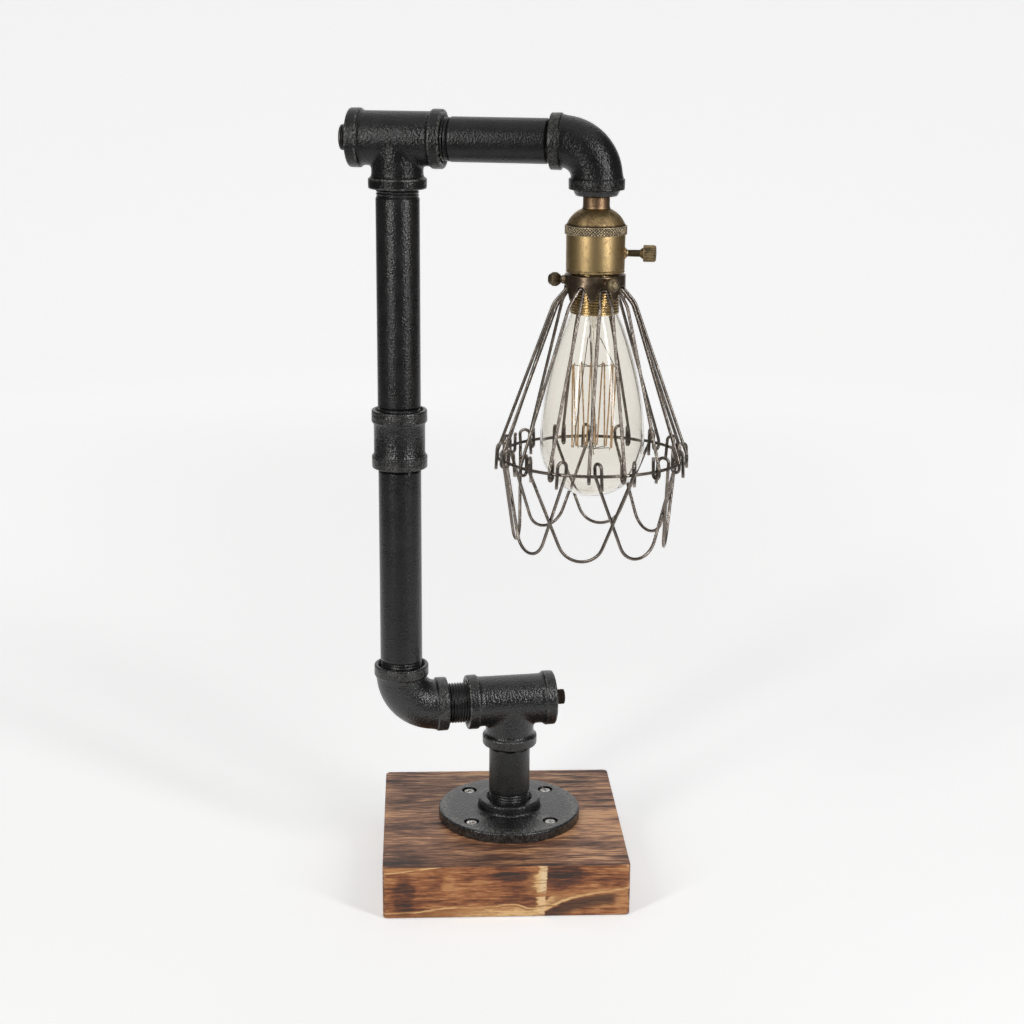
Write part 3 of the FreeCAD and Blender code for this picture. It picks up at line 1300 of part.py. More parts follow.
def make_leads():
    """Round two-core lead in three lengths that meet at the joints of the pipes."""
    radius = value("lead_radius")
    outlet = value("tee_half_run + outlet_washer_thickness + outlet_stub - lead_recess")
    corner = Vector(-value(LOWER_ARM), 0, 0)
    seam = value("lower_elbow_reach + lower_column_show + coupling_half")
    route = [Vector(outlet, 0, 0), corner, corner + AXIS_Z * seam]
    lower = swept_wire(route, [value("lower_elbow_bend")], radius)
    shaped_piece("lower_lead", lower, lower_frame)
    bottom = -value("coupling_half + upper_column_show + tee_reach")
    stop = value(UPPER_ARM) - value("head_seam")
    upper = swept_wire([Vector(0, 0, bottom), Vector(), Vector(stop, 0, 0)], [value("lead_tee_bend")], radius)
    shaped_piece("upper_lead", upper, upper_frame)
    drop = value("arm_elbow_reach + bushing_flange + cap_neck_height + neck_tube_drop + lead_split")
    lead_end = Vector(0, 0, -drop)
    head = swept_wire([Vector(-value("head_seam"), 0, 0), Vector(), lead_end],
                      [value("head_seam - lead_straight")], radius)
    terminal_top = value("terminal_head - body_top_gap - seam_gap")
    level = terminal_top - value("arm_elbow_reach + bushing_flange + cap_neck_height + cap_dome_height")
    offset, core = value("terminal_offset"), value("lead_core")
    turn = value("key_turn")
    cores = []
    for side in (1, -1):
        start = at_bearing(side * value("lead_core_offset"), turn, lead_end.z)
        out = at_bearing(side * offset, turn, (lead_end.z + level) / 2)
        bend_down = Vector(start.x, start.y, (lead_end.z + level) / 2)
        end = at_bearing(side * offset, turn, level)
        cores.append(swept_wire([start, bend_down, out, end],
                                [min(value("lead_core_bend"), (lead_end.z - level) / 2 - core)] * 2, core))
    shaped_piece("head_lead", Part.makeCompound([head, *cores]), head_frame)


# ---------------------------------------------------------------- assembly

def make_lamp():
    """Builds every piece of the lamp in its place."""
    make_wood_base()
    make_floor_flange()
    make_flange_screws()
    make_pipe("base_nipple", moved_frame(base_frame, z=value("hub_height")), "base_pipe_show",
              low_show="base_thread_show")
    make_tee("base_tee", lower_frame)
    make_cord_outlet()
    make_close_nipple()
    make_elbow("lower_elbow", lower_elbow_frame, "lower_elbow")
    make_pipe("lower_column_pipe", moved_frame(lower_elbow_frame, z=value("lower_elbow_reach")),
              "lower_column_show")
    make_coupling()
    make_pipe("upper_column_pipe", moved_frame(coupling_frame, z=value("coupling_half")), "upper_column_show")
    make_tee("top_tee", upper_frame)
    make_top_tee_plug()
    arm_frame = tipped_frame(moved_frame(upper_frame, x=value("tee_half_run")), AXIS_Y, 90)
    make_pipe("arm_pipe", arm_frame, "arm_show")
    make_elbow("arm_elbow", tipped_frame(head_frame, AXIS_Y, 180), "arm_elbow")
    make_reducer_bushing()
    make_lamp_nipple()
    make_socket_cap()
    make_socket_ring()
    make_socket_shell()
    make_shell_liner()
    make_switch_body()
    make_terminal_screws()
    make_switch_rotor()
    make_switch_key()
    make_centre_contact()
    make_screw_shell()
    make_threaded_sleeve()
    make_cage_collar()
    make_thumb_screws()
    make_cage_ribs()
    make_cage_ring()
    make_petals()
    make_bulb_glass()
    make_bulb_cap()
    make_bulb_contact()
    make_bulb_stem()
    make_bulb_filament()
    make_bulb_supports()
    make_leads()


def check_document():
    """Stops if any object failed or any piece is not a valid solid."""
    for item in document.Objects:
        if "Invalid" in item.State or "Error" in item.State:
            raise RuntimeError(f"{item.Label} failed: {item.State}")
    for piece in pieces:
        if piece.Shape.isNull() or not piece.Shape.isValid() or not piece.Shape.Solids:
            raise RuntimeError(f"{piece.Label} is not a valid solid")


def write_parts():
    """Writes every piece as a STEP file of its own."""
    os.makedirs("parts", exist_ok=True)
    for piece in pieces:
        piece.Shape.exportStep(os.path.join("parts", f"{piece.Label}.step"))


make_lamp()
document.recompute()
check_document()
write_parts()
print(f"{len(pieces)} pieces written")
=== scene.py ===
"""Looks of the pipe table lamp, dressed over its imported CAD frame."""

import json
import logging
import math
from dataclasses import dataclass, field
from enum import Enum
from functools import cache
from typing import Callable, Sequence, Union

import bmesh
import bpy
import numpy as np
from bpy.types import ID, Material, Mesh, MeshVertices, Node, NodeSocket, Object
from mathutils import Matrix, Vector


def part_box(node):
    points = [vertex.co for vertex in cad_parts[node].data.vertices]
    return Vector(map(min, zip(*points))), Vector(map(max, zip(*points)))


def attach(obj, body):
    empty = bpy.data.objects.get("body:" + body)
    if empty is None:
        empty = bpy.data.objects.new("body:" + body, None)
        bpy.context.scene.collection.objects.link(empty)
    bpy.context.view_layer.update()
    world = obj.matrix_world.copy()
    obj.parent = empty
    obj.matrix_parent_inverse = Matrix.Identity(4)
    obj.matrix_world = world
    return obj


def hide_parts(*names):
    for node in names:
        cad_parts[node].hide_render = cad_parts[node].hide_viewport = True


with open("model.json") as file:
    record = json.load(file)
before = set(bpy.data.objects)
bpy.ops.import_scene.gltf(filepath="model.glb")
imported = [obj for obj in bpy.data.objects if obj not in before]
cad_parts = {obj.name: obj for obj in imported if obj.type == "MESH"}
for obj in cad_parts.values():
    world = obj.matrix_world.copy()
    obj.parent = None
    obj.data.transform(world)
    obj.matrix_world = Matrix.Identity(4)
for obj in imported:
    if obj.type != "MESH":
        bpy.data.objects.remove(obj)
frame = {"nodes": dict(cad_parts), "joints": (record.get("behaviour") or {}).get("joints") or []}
LOG = logging.getLogger("pipe_lamp")
MM = 0.001
TAU = 2.0 * math.pi
EDGE = "edge"
Point = tuple[float, float]
Profile = list[Point]
Colour = tuple[float, float, float]
# Gives the radius around a row from the angles, the row's own radius and its height.
RadiusRule = Callable[[np.ndarray, float, float], Union[np.ndarray, float]]


# ---------- shader graphs


class Maths(Enum):
    """Operations of the Math node that the socket class uses."""

    ADD = "ADD"
    SUBTRACT = "SUBTRACT"
    MULTIPLY = "MULTIPLY"
    DIVIDE = "DIVIDE"
    POWER = "POWER"
    MINIMUM = "MINIMUM"
    MAXIMUM = "MAXIMUM"
    ABSOLUTE = "ABSOLUTE"
    FRACTION = "FRACT"


def _operator(operation: Maths, swapped: bool = False) -> Callable[["Term", "Value"], "Term"]:
    """Makes an operator of the socket class.

    Args:
        operation: What its Math node does.
        swapped: Whether the term comes second, as in a reflected operator.

    Returns:
        The operator.
    """

    def method(term: "Term", other: "Value") -> "Term":
        """Adds the Math node."""
        return term.math(operation, *((other, term) if swapped else (term, other)))

    return method


class Term:
    """Output socket of a shader node, with the usual arithmetic.

    Args:
        graph: Graph that owns the socket.
        socket: Output socket that the term stands for.
    """

    def __init__(self, graph: "Graph", socket: NodeSocket) -> None:
        """Wraps the socket."""
        self.graph = graph
        self.socket = socket

    def math(self, operation: Maths, first: "Value", second: "Value" = 0.0) -> "Term":
        """Adds a Math node and returns its output."""
        settings = {"operation": operation.value}
        return self.graph.node("ShaderNodeMath", settings, {0: first, 1: second})["Value"]

    __add__ = _operator(Maths.ADD)
    __radd__ = _operator(Maths.ADD, True)
    __sub__ = _operator(Maths.SUBTRACT)
    __rsub__ = _operator(Maths.SUBTRACT, True)
    __mul__ = _operator(Maths.MULTIPLY)
    __rmul__ = _operator(Maths.MULTIPLY, True)
    __truediv__ = _operator(Maths.DIVIDE)
    __rtruediv__ = _operator(Maths.DIVIDE, True)
    __pow__ = _operator(Maths.POWER)
    least = _operator(Maths.MINIMUM)
    most = _operator(Maths.MAXIMUM)

    def __abs__(self) -> "Term":
        """Size of the term without its sign."""
        return self.math(Maths.ABSOLUTE, self)

    def fraction(self) -> "Term":
        """What the term has behind the decimal point."""
        return self.math(Maths.FRACTION, self)

    def over(self, low: float, high: float, start: float = 0.0, stop: float = 1.0) -> "Term":
        """Smooth step from one value to another.

        Args:
            low: Value of the term at which the step starts.
            high: Value of the term at which it ends.
            start: Result up to low.
            stop: Result from high on.

        Returns:
            The stepped term.
        """
        settings = {"interpolation_type": "SMOOTHSTEP"}
        inputs = {"Value": self, "From Min": low, "From Max": high, "To Min": start, "To Max": stop}
        return self.graph.node("ShaderNodeMapRange", settings, inputs)["Result"]


Value = Union[Term, float, Sequence[float]]


class Graph:
    """Node tree of one material."""

    def __init__(self, name: str) -> None:
        """Makes the material with an empty node tree.

        Args:
            name: Name of the new material.
        """
        self.material = bpy.data.materials.new(name)
        self.material.use_nodes = True
        self.tree = self.material.node_tree
        self.tree.nodes.clear()
        self._place: Term | None = None

    def node(
        self,
        kind: str,
        settings: dict[str, object] | None = None,
        inputs: dict[int | str, Value] | None = None,
    ) -> "Outputs":
        """Adds any node.

        Args:
            kind: Node type.
            settings: Properties of the node.
            inputs: Terms or constants for its input sockets, by name or number.

        Returns:
            The node's outputs by name.
        """
        made = self.tree.nodes.new(kind)
        for key, setting in (settings or {}).items():
            setattr(made, key, setting)
        for key, given in (inputs or {}).items():
            if isinstance(given, Term):
                self.tree.links.new(given.socket, made.inputs[key])
            else:
                made.inputs[key].default_value = given
        return Outputs(self, made)

    @property
    def place(self) -> Term:
        """Object coordinates, which are row-frame metres at rest."""
        if self._place is None:
            self._place = self.node("ShaderNodeTexCoord")["Object"]
        return self._place

    def axes(self) -> tuple[Term, Term, Term]:
        """Splits the object coordinates into their X, Y and Z terms, in metres."""
        split = self.node("ShaderNodeSeparateXYZ", {}, {0: self.place})
        return split["X"], split["Y"], split["Z"]

    def noise(
        self,
        size_mm: float,
        detail: float = 4.0,
        roughness: float = 0.5,
        stretch: Sequence[float] = (1.0, 1.0, 1.0),
        shift: Sequence[float] = (0.0, 0.0, 0.0),
        distortion: float = 0.0,
    ) -> Term:
        """Noise over the object's surface.

        Args:
            size_mm: Size of its largest patches, in millimetres.
            detail: Octaves.
            roughness: Weight of the finer octaves.
            stretch: How far the patches are drawn out along X, Y and Z.
            shift: Offset in metres that gives another sample of the noise.
            distortion: How far the noise is warped by itself.

        Returns:
            The noise, about 0.5 on average.
        """
        scale = tuple(1.0 / along for along in stretch)
        place = self.node("ShaderNodeMapping", {}, {"Vector": self.place, "Location": shift, "Scale": scale})
        inputs = {
            "Vector": place["Vector"],
            "Scale": 1.0 / (size_mm * MM),
            "Detail": detail,
            "Roughness": roughness,
            "Distortion": distortion,
        }
        return self.node("ShaderNodeTexNoise", {}, inputs)["Fac"]

    def cells(self, size_mm: float) -> Term:
        """Distance to the middle of Voronoi cells of a size in millimetres."""
        inputs = {"Vector": self.place, "Scale": 1.0 / (size_mm * MM)}
        return self.node("ShaderNodeTexVoronoi", {}, inputs)["Distance"]

    def ramp(self, term: Term, stops: Sequence[tuple[float, Colour]]) -> Term:
        """Colour ramp.

        Args:
            term: What the ramp reads.
            stops: Positions and linear colours.

        Returns:
            The colour.
        """
        made = self.node("ShaderNodeValToRGB", {}, {"Fac": term})
        elements = made.bl.color_ramp.elements
        while len(elements) < len(stops):
            elements.new(0.5)
        for element, (position, colour) in zip(elements, stops):
            element.position = position
            element.color = (*colour, 1.0)
        return made["Color"]

    def blend(self, share: Value, low: Term | Colour, high: Term | Colour) -> Term:
        """Mixes two colours.

        Args:
            share: 0 gives the first colour, 1 the second.
            low: First colour.
            high: Second colour.

        Returns:
            The mixed colour.
        """
        first, second = (given if isinstance(given, Term) else (*given, 1.0) for given in (low, high))
        made = self.node("ShaderNodeMix", {"data_type": "RGBA"}, {"Factor": share, 6: first, 7: second})
        return Term(self, made.bl.outputs[2])

    def grey(self, level: Term) -> Term:
        """Colour whose three parts are one term."""
        return self.node("ShaderNodeCombineColor", {}, {"Red": level, "Green": level, "Blue": level})["Color"]

    def bump(self, height: Term, distance_mm: float, strength: float = 1.0) -> Term:
        """Normal bumped by a height from 0 to 1 that stands for a distance in millimetres."""
        inputs = {"Height": height, "Distance": distance_mm * MM, "Strength": strength}
        return self.node("ShaderNodeBump", {}, inputs)["Normal"]

    def edge(self) -> Term:
        """How far the surface stands proud: up to 1 on an edge, down to -1 in a hollow."""
        return self.node("ShaderNodeAttribute", {"attribute_name": EDGE})["Fac"]

    def finish(self, inputs: dict[int | str, Value]) -> Material:
        """Ends the graph in a Principled shader.

        Args:
            inputs: The shader's inputs.

        Returns:
            The finished material.
        """
        shader = self.node("ShaderNodeBsdfPrincipled", {}, inputs)["BSDF"]
        self.node("ShaderNodeOutputMaterial", {}, {"Surface": shader})
        return self.material


class Outputs:
    """Outputs of one node, by name.

    Args:
        graph: Graph that owns the node.
        made: The node.
    """

    def __init__(self, graph: Graph, made: Node) -> None:
        """Wraps the node."""
        self.graph = graph
        self.bl = made

    def __getitem__(self, name: str) -> Term:
        """Output of a name."""
        return Term(self.graph, self.bl.outputs[name])


# ---------- finishes


@dataclass(frozen=True)
class IronPaint:
    """Grainy semi-gloss black paint on cast or drawn iron.

    Attributes:
        name: Material name.
        base: Colour of the paint.
        worn: Colour of paint worn off along edges, which also serves as a highlight painted along them.
        glint_tint: Colour of the highlights painted on the tops of its grains.
        grain_mm: Size of its grains.
        depth_mm: Height of its grains.
        gloss: Roughness between the grains.
        sparkle: How strongly the painted highlights lighten the tops of its grains.
        sheen: Specular level of the paint.
    """

    name: str
    base: Colour = (0.0060, 0.0061, 0.0062)
    worn: Colour = (0.17, 0.163, 0.153)
    glint_tint: Colour = (0.085, 0.085, 0.083)
    grain_mm: float = 0.9
    depth_mm: float = 0.30
    gloss: float = 0.30
    sparkle: float = 0.12
    sheen: float = 0.55

    def build(self) -> Material:
        """Builds the material.

        Returns:
            The material.
        """
        graph = Graph(self.name)
        fine = graph.noise(self.grain_mm, 2.0, 0.55)
        pits = graph.cells(self.grain_mm * 0.9)
        broad = graph.noise(9.0, 3.0, 0.5, shift=(0.3, 0.1, 0.0))
        # Painted highlight: the tops of the grains are lightened as if they glinted.
        glint = fine.over(0.56, 0.70) * self.sparkle
        edge = graph.edge()
        # Edge wear and painted highlight: proud edges turn towards the worn colour, partly worn paint and
        # partly a highlight painted along them.
        edge_wear_and_highlight = (edge.over(0.25, 0.9) * graph.noise(2.4, 4.0, 0.7).over(0.40, 0.66)).least(1.0)
        lift = tuple(1.9 * part for part in self.base)
        paint = graph.blend(broad.over(0.3, 0.75), self.base, lift)
        colour = graph.blend(edge_wear_and_highlight, graph.blend(glint, paint, self.glint_tint), self.worn)
        inputs = {
            "Base Color": colour,
            "Roughness": broad * 0.10 + (self.gloss - 0.05) + fine * 0.10,
            "Metallic": edge_wear_and_highlight * 0.35,
            "Normal": graph.bump(fine * 0.8 + pits * 0.5, self.depth_mm),
            "Specular IOR Level": self.sheen,
        }
        return graph.finish(inputs)


@dataclass(frozen=True)
class AgedBrass:
    """Antiqued brass with a mottled patina.

    Attributes:
        name: Material name.
        bright: Colour of rubbed metal.
        dark: Colour of the patina.
        patina: How far the patina covers, from 0 to 1.
        gloss: Roughness of the bare metal.
        cavity: How dark the hollows are.
        copper: Colour of the browner neck.
        copper_mm: Height from which the metal is browner.
    """

    name: str
    bright: Colour = (0.47, 0.335, 0.162)
    dark: Colour = (0.115, 0.078, 0.045)
    patina: float = 0.40
    gloss: float = 0.43
    cavity: float = 0.7
    copper: Colour = (0.27, 0.165, 0.105)
    copper_mm: float = 437.4

    def build(self) -> Material:
        """Builds the material.

        Returns:
            The material.
        """
        graph = Graph(self.name)
        blotch = graph.noise(6.0, 6.0, 0.66, distortion=0.5)
        speck = graph.noise(1.3, 3.0, 0.65, shift=(0.4, 0.0, 0.2))
        grit = graph.noise(0.7, 2.0, 0.6, shift=(0.1, 0.6, 0.2))
        edge = graph.edge()
        hollow = edge.over(-0.08, -0.5)
        cloud = (blotch.over(0.36, 0.66) - 0.5) * 0.70 + (speck.over(0.36, 0.66) - 0.5) * 0.40
        cover = cloud + (grit.over(0.38, 0.62) - 0.5) * 0.22 + self.patina + hollow * self.cavity
        shine = edge.over(0.2, 0.8) * 0.45
        worn = (cover - shine).least(1.0).most(0.0)
        neck = graph.axes()[2].over(self.copper_mm * MM, (self.copper_mm + 0.6) * MM) * 0.85
        colour = graph.blend(worn, graph.blend(neck, self.bright, self.copper), self.dark)
        rough = worn * 0.16 + self.gloss
        normal = graph.bump(speck * 0.7 + grit * 0.5, 0.08, 0.9)
        return graph.finish({"Base Color": colour, "Roughness": rough, "Metallic": 1.0, "Normal": normal})


@dataclass(frozen=True)
class BronzedWire:
    """Dark plated steel with lighter worn metal along its edges.

    Attributes:
        name: Material name.
        base: Colour of the plating.
        worn: Colour where it is rubbed.
        rust: Colour of its rust.
        gloss: Roughness.
    """

    name: str
    base: Colour = (0.185, 0.158, 0.136)
    worn: Colour = (0.52, 0.46, 0.40)
    rust: Colour = (0.085, 0.052, 0.033)
    gloss: float = 0.19

    def build(self) -> Material:
        """Builds the material.

        Returns:
            The material.
        """
        graph = Graph(self.name)
        blotch = graph.noise(5.0, 5.0, 0.6)
        speck = graph.noise(0.7, 3.0, 0.65, shift=(0.1, 0.3, 0.2))
        edge = graph.edge()
        worn = blotch.over(0.48, 0.70) * 0.55 + speck.over(0.50, 0.80) * 0.2 + edge.over(0.25, 0.8) * 0.5
        rust = graph.noise(3.0, 4.0, 0.6, shift=(0.7, 0.2, 0.5)).over(0.62, 0.78) * 0.5
        colour = graph.blend(rust, graph.blend(worn.least(1.0), self.base, self.worn), self.rust)
        rough = self.gloss + speck * 0.16 + rust * 0.3
        normal = graph.bump(speck + blotch * 0.4, 0.025, 0.5)
        return graph.finish({"Base Color": colour, "Roughness": rough, "Metallic": 0.9, "Normal": normal})


@dataclass(frozen=True)
class PlainMetal:
    """Plain steel or spun metal with fine scratches and some dirt.

    Attributes:
        name: Material name.
        base: Colour of the metal.
        dirt: Colour of the dirt or rust.
        cover: Share of dirt.
        gloss: Roughness.
    """

    name: str
    base: Colour = (0.62, 0.61, 0.59)
    dirt: Colour = (0.16, 0.11, 0.07)
    cover: float = 0.2
    gloss: float = 0.26

    def build(self) -> Material:
        """Builds the material.

        Returns:
            The material.
        """
        graph = Graph(self.name)
        fine = graph.noise(0.6, 4.0, 0.65)
        blotch = graph.noise(2.4, 4.0, 0.6, shift=(0.2, 0.2, 0.7))
        hollow = graph.edge().over(-0.05, -0.6)
        dirt = ((blotch * 0.6 + fine * 0.5 + (self.cover - 0.45)).over(0.2, 0.5) + hollow * 0.6).least(1.0)
        colour = graph.blend(dirt, self.base, self.dirt)
        normal = graph.bump(fine, 0.03, 0.5)
        inputs = {"Base Color": colour, "Roughness": dirt * 0.35 + self.gloss, "Normal": normal}
        return graph.finish({**inputs, "Metallic": 1.0 - dirt * 0.4})


@dataclass(frozen=True)
class Plain:
    """Paper, moulding or braid of a hidden part.

    Attributes:
        name: Material name.
        base: Its colour.
        shade: Its darker colour.
        grain_mm: Size of its grain.
        stretch: How far the grain is drawn out.
        gloss: Roughness.
    """

    name: str
    base: Colour
    shade: Colour
    grain_mm: float = 0.8
    stretch: tuple[float, float, float] = (1.0, 1.0, 1.0)
    gloss: float = 0.6

    def build(self) -> Material:
        """Builds the material.

        Returns:
            The material.
        """
        graph = Graph(self.name)
        grain = graph.noise(self.grain_mm, 4.0, 0.6, stretch=self.stretch)
        colour = graph.blend(grain.over(0.35, 0.7), self.base, self.shade)
        normal = graph.bump(grain, 0.06, 0.6)
        return graph.finish({"Base Color": colour, "Roughness": grain * 0.15 + self.gloss, "Normal": normal})


@dataclass(frozen=True)
class BulbGlass:
    """Clear drawn glass with a faint warm tint and slight waviness.

    Attributes:
        name: Material name.
        tint: Colour of the glass.
        wave_mm: Height of its waviness.
    """

    name: str
    tint: Colour = (0.940, 0.918, 0.870)
    wave_mm: float = 0.03

    def build(self) -> Material:
        """Builds the material.

        Returns:
            The material.
        """
        graph = Graph(self.name)
        wave = graph.noise(14.0, 1.0, 0.4, stretch=(1.0, 1.0, 2.5))
        film = graph.noise(5.0, 5.0, 0.7)
        colour = graph.blend(film.over(0.45, 0.8) * 0.4, self.tint, tuple(0.95 * part for part in self.tint))
        normal = graph.bump(wave, self.wave_mm, 0.5)
        inputs = {"Base Color": colour, "Roughness": film * 0.015, "IOR": 1.28, "Transmission Weight": 1.0}
        return graph.finish({**inputs, "Normal": normal})


@dataclass(frozen=True)
class GlowingWire:
    """Carbon filament that glows faintly.

    Attributes:
        name: Material name.
        cold: Colour of the wire.
        glow: Colour of its light.
        power: Strength of its light.
    """

    name: str
    cold: Colour = (0.46, 0.32, 0.18)
    glow: Colour = (1.0, 0.66, 0.38)
    power: float = 0.24

    def build(self) -> Material:
        """Builds the material.

        Returns:
            The material.
        """
        graph = Graph(self.name)
        uneven = graph.noise(3.0, 3.0, 0.6)
        colour = graph.blend(uneven.over(0.35, 0.7), self.cold, tuple(0.5 * part for part in self.cold))
        light = graph.blend(uneven.over(0.3, 0.7), self.glow, tuple(0.55 * part for part in self.glow))
        normal = graph.bump(uneven, 0.05, 0.5)
        inputs = {"Base Color": colour, "Roughness": uneven * 0.2 + 0.50, "Metallic": 0.1, "Normal": normal}
        return graph.finish({**inputs, "Emission Color": light, "Emission Strength": self.power})


@dataclass(frozen=True)
class TorchedPine:
    """Torched, brushed and oiled pine, its grain along X.

    Attributes:
        name: Material name.
        char: Colour of the burnt late wood.
        brown: Colour of the toasted early wood.
        russet: Colour of the lightly toasted wood.
        honey: Lightest toasted colour.
        gold: Colour where the flame passed by.
        pale: Lightest colour of the golden strip.
        tan: Colour at the edge of the golden bands.
        edge_wear_and_highlight: Colour of the worn edges, also a highlight painted along them.
        front: Toasted colours of the front, from light to dark.
        rings_per_m: Year rings in a metre.
        half_mm: Half of the block's side.
        tall_mm: Height of the block.
    """

    name: str
    char: Colour = (0.045, 0.028, 0.022)
    brown: Colour = (0.140, 0.062, 0.036)
    russet: Colour = (0.33, 0.155, 0.080)
    honey: Colour = (0.68, 0.36, 0.18)
    gold: Colour = (0.90, 0.58, 0.27)
    pale: Colour = (1.0, 0.76, 0.47)
    tan: Colour = (0.50, 0.235, 0.088)
    edge_wear_and_highlight: Colour = (0.55, 0.30, 0.135)
    front: tuple[Colour, ...] = ((0.60, 0.29, 0.120), (0.38, 0.142, 0.056), (0.160, 0.056, 0.028))
    rings_per_m: float = 215.0
    half_mm: float = 77.5
    tall_mm: float = 34.5

    def _path(self, graph: Graph, along: Term, points: Sequence[Point], top: float = 1.0) -> Term:
        """Smooth curve over the block's length.

        Args:
            graph: The material's graph.
            along: Position along the block, in metres.
            points: Positions in millimetres and the curve's values there.
            top: Largest value.

        Returns:
            The curve's value.
        """
        span = 2.0 * self.half_mm
        made = graph.node("ShaderNodeFloatCurve", {}, {"Value": along / (span * MM) + 0.5})
        curve = made.bl.mapping.curves[0]
        spots = [(place / span + 0.5, level / top) for place, level in points]
        curve.points[0].location = spots[0]
        curve.points[-1].location = spots[-1]
        for middle in spots[1:-1]:
            curve.points.new(*middle)
        made.bl.mapping.update()
        return made["Value"] * top

    @staticmethod
    def _spot(across: Term, height: Term, middle: Point, reach: Point) -> Term:
        """Soft oval spot on the front.

        Args:
            across: Position along the block, in metres.
            height: Position above its underside, in metres.
            middle: The spot's middle in millimetres.
            reach: Its half width and half height in millimetres.

        Returns:
            One in its middle and nought outside.
        """
        side = (across - middle[0] * MM) / (reach[0] * MM)
        rise = (height - middle[1] * MM) / (reach[1] * MM)
        return (side * side + rise * rise).over(1.0, 0.15)

    def _top(self, graph: Graph, streak: Term, fibre: Term) -> tuple[Term, Term]:
        """Colour of the top and of the end faces.

        Args:
            graph: The material's graph.
            streak: Long streaks of the grain.
            fibre: Fine fibres of the grain.

        Returns:
            The colour and how dark it is.
        """
        across_x, across_y, height = graph.axes()
        sway = graph.noise(60.0, 2.0, 0.5, stretch=(1.8, 1.0, 1.0), shift=(0.11, 0.02, 0.3))
        side = across_y + 0.014 + sway * 0.030
        rise = height * 1.6 + 0.060
        rings = (side * side + rise * rise) ** 0.5
        warp = graph.noise(10.0, 4.0, 0.62, stretch=(6.0, 1.0, 1.0)) * 0.006
        cycle = ((rings + warp) * self.rings_per_m).fraction()
        late = cycle.over(0.45, 0.90) * cycle.over(1.0, 0.94)
        vigour = graph.noise(13.0, 3.0, 0.6, stretch=(5.0, 1.0, 1.0), shift=(0.4, 0.1, 0.6))
        burn = graph.noise(38.0, 4.0, 0.6, stretch=(1.9, 1.0, 1.0), shift=(0.21, 0.33, 0.05))
        left_levels = ((-77.5, 0.50), (-64.0, 0.50), (-48.0, 0.32), (-15.0, 0.30))
        shade = self._path(graph, across_y, (*left_levels, (25.0, 0.34), (60.0, 0.26), (77.5, 0.30)))
        left = across_x.over(0.0, -0.055) * across_x.over(-0.077, -0.068) * 0.16
        hair = graph.noise(0.9, 3.0, 0.7, stretch=(14.0, 1.0, 1.0), shift=(0.15, 0.6, 0.3))
        dark = (late - 0.2) * vigour.over(0.36, 0.66) * 0.62 + (streak - 0.5) * 0.9
        dark = dark + (fibre - 0.5) * 1.5 + (hair - 0.5) * 1.5
        smear = graph.noise(24.0, 5.0, 0.62, stretch=(4.5, 1.0, 1.0), shift=(0.52, 0.05, 0.4))
        dark = dark + (burn - 0.5) * 1.3 + (smear - 0.5) * 1.7 + shade + left - 0.04
        stops = [(0.0, self.honey), (0.28, self.russet), (0.62, self.brown), (1.15, self.char)]
        return graph.ramp(dark, stops), dark

    def _front(self, graph: Graph, streak: Term, fibre: Term) -> Term:
        """Colour of the front: scorched patches between the golden bands that the flame left, with a
        highlight painted along the lower edge of the right band and a painted shadow below it.

        Args:
            graph: The material's graph.
            streak: Long streaks of the grain.
            fibre: Fine fibres of the grain.

        Returns:
            The colour.
        """
        across, _, height = graph.axes()
        wave = (graph.noise(15.0, 4.0, 0.6, stretch=(1.8, 1.0, 1.0), shift=(0.5, 0.1, 0.2)) - 0.5) * 0.006
        side = across + (graph.noise(9.0, 4.0, 0.65, shift=(0.3, 0.8, 0.2)) - 0.5) * 0.012
        rise = height + wave
        scorch = self._spot(side, rise, (-64.0, 15.0), (8.0, 19.0)) * 0.26
        patches = (
            ((-66.0, 20.0), (12.0, 5.0), 0.20),
            ((4.0, 30.0), (15.0, 8.0), 0.34),
            ((35.0, 28.0), (17.0, 11.0), 0.42),
            ((62.0, 27.0), (17.0, 5.0), 0.18),
            ((-30.0, 12.0), (20.0, 5.0), 0.16),
            ((-36.0, 24.0), (5.0, 9.0), -0.24),
            ((74.0, 8.0), (7.0, 9.0), -0.34),
        )
        for middle, reach, depth in patches:
            scorch = scorch + self._spot(side, rise, middle, reach) * depth
        patch = graph.noise(20.0, 4.0, 0.6, stretch=(1.4, 1.0, 1.4), shift=(0.41, 0.13, 0.25))
        dash = graph.noise(1.0, 2.0, 0.6, stretch=(9.0, 1.0, 1.0), shift=(0.6, 0.2, 0.1))
        dark = scorch + (patch - 0.5) * 0.9 + (streak - 0.5) * 1.5 + (fibre - 0.5) * 1.0
        dark = dark + (dash - 0.5) * 1.2 + 0.32
        toasted = graph.ramp(dark, list(zip((0.0, 0.28, 0.62, 1.1), (*self.front, self.char))))
        lows = ((-77.5, 0.0), (16.0, 0.0), (24.0, 3.6), (38.0, 10.7))
        left = ((-77.5, 3.5), (-55.0, 4.8), (-39.0, 7.0), (-12.0, 8.3), (4.0, 9.0), (17.0, 6.5), (25.0, 13.0))
        highs = (*left, (31.0, 17.3), (44.0, 16.8), (58.0, 17.0), (70.0, 19.6), (77.5, 21.5))
        sill = self._path(graph, across, (*lows, (50.0, 13.7), (66.0, 16.0), (77.5, 17.5)), self.tall_mm)
        crown = self._path(graph, across, highs, self.tall_mm)
        over = height - sill * MM + wave * 0.5
        under = crown * MM - height + wave * 0.7
        right = across.over(0.018, 0.024)
        glow = ((-77.5, 0.35), (-50.0, 0.50), (-25.0, 0.70), (-8.0, 0.95), (20.0, 1.0))
        warmth = self._path(graph, across, (*glow, (34.0, 0.62), (55.0, 0.60), (77.5, 0.62)))
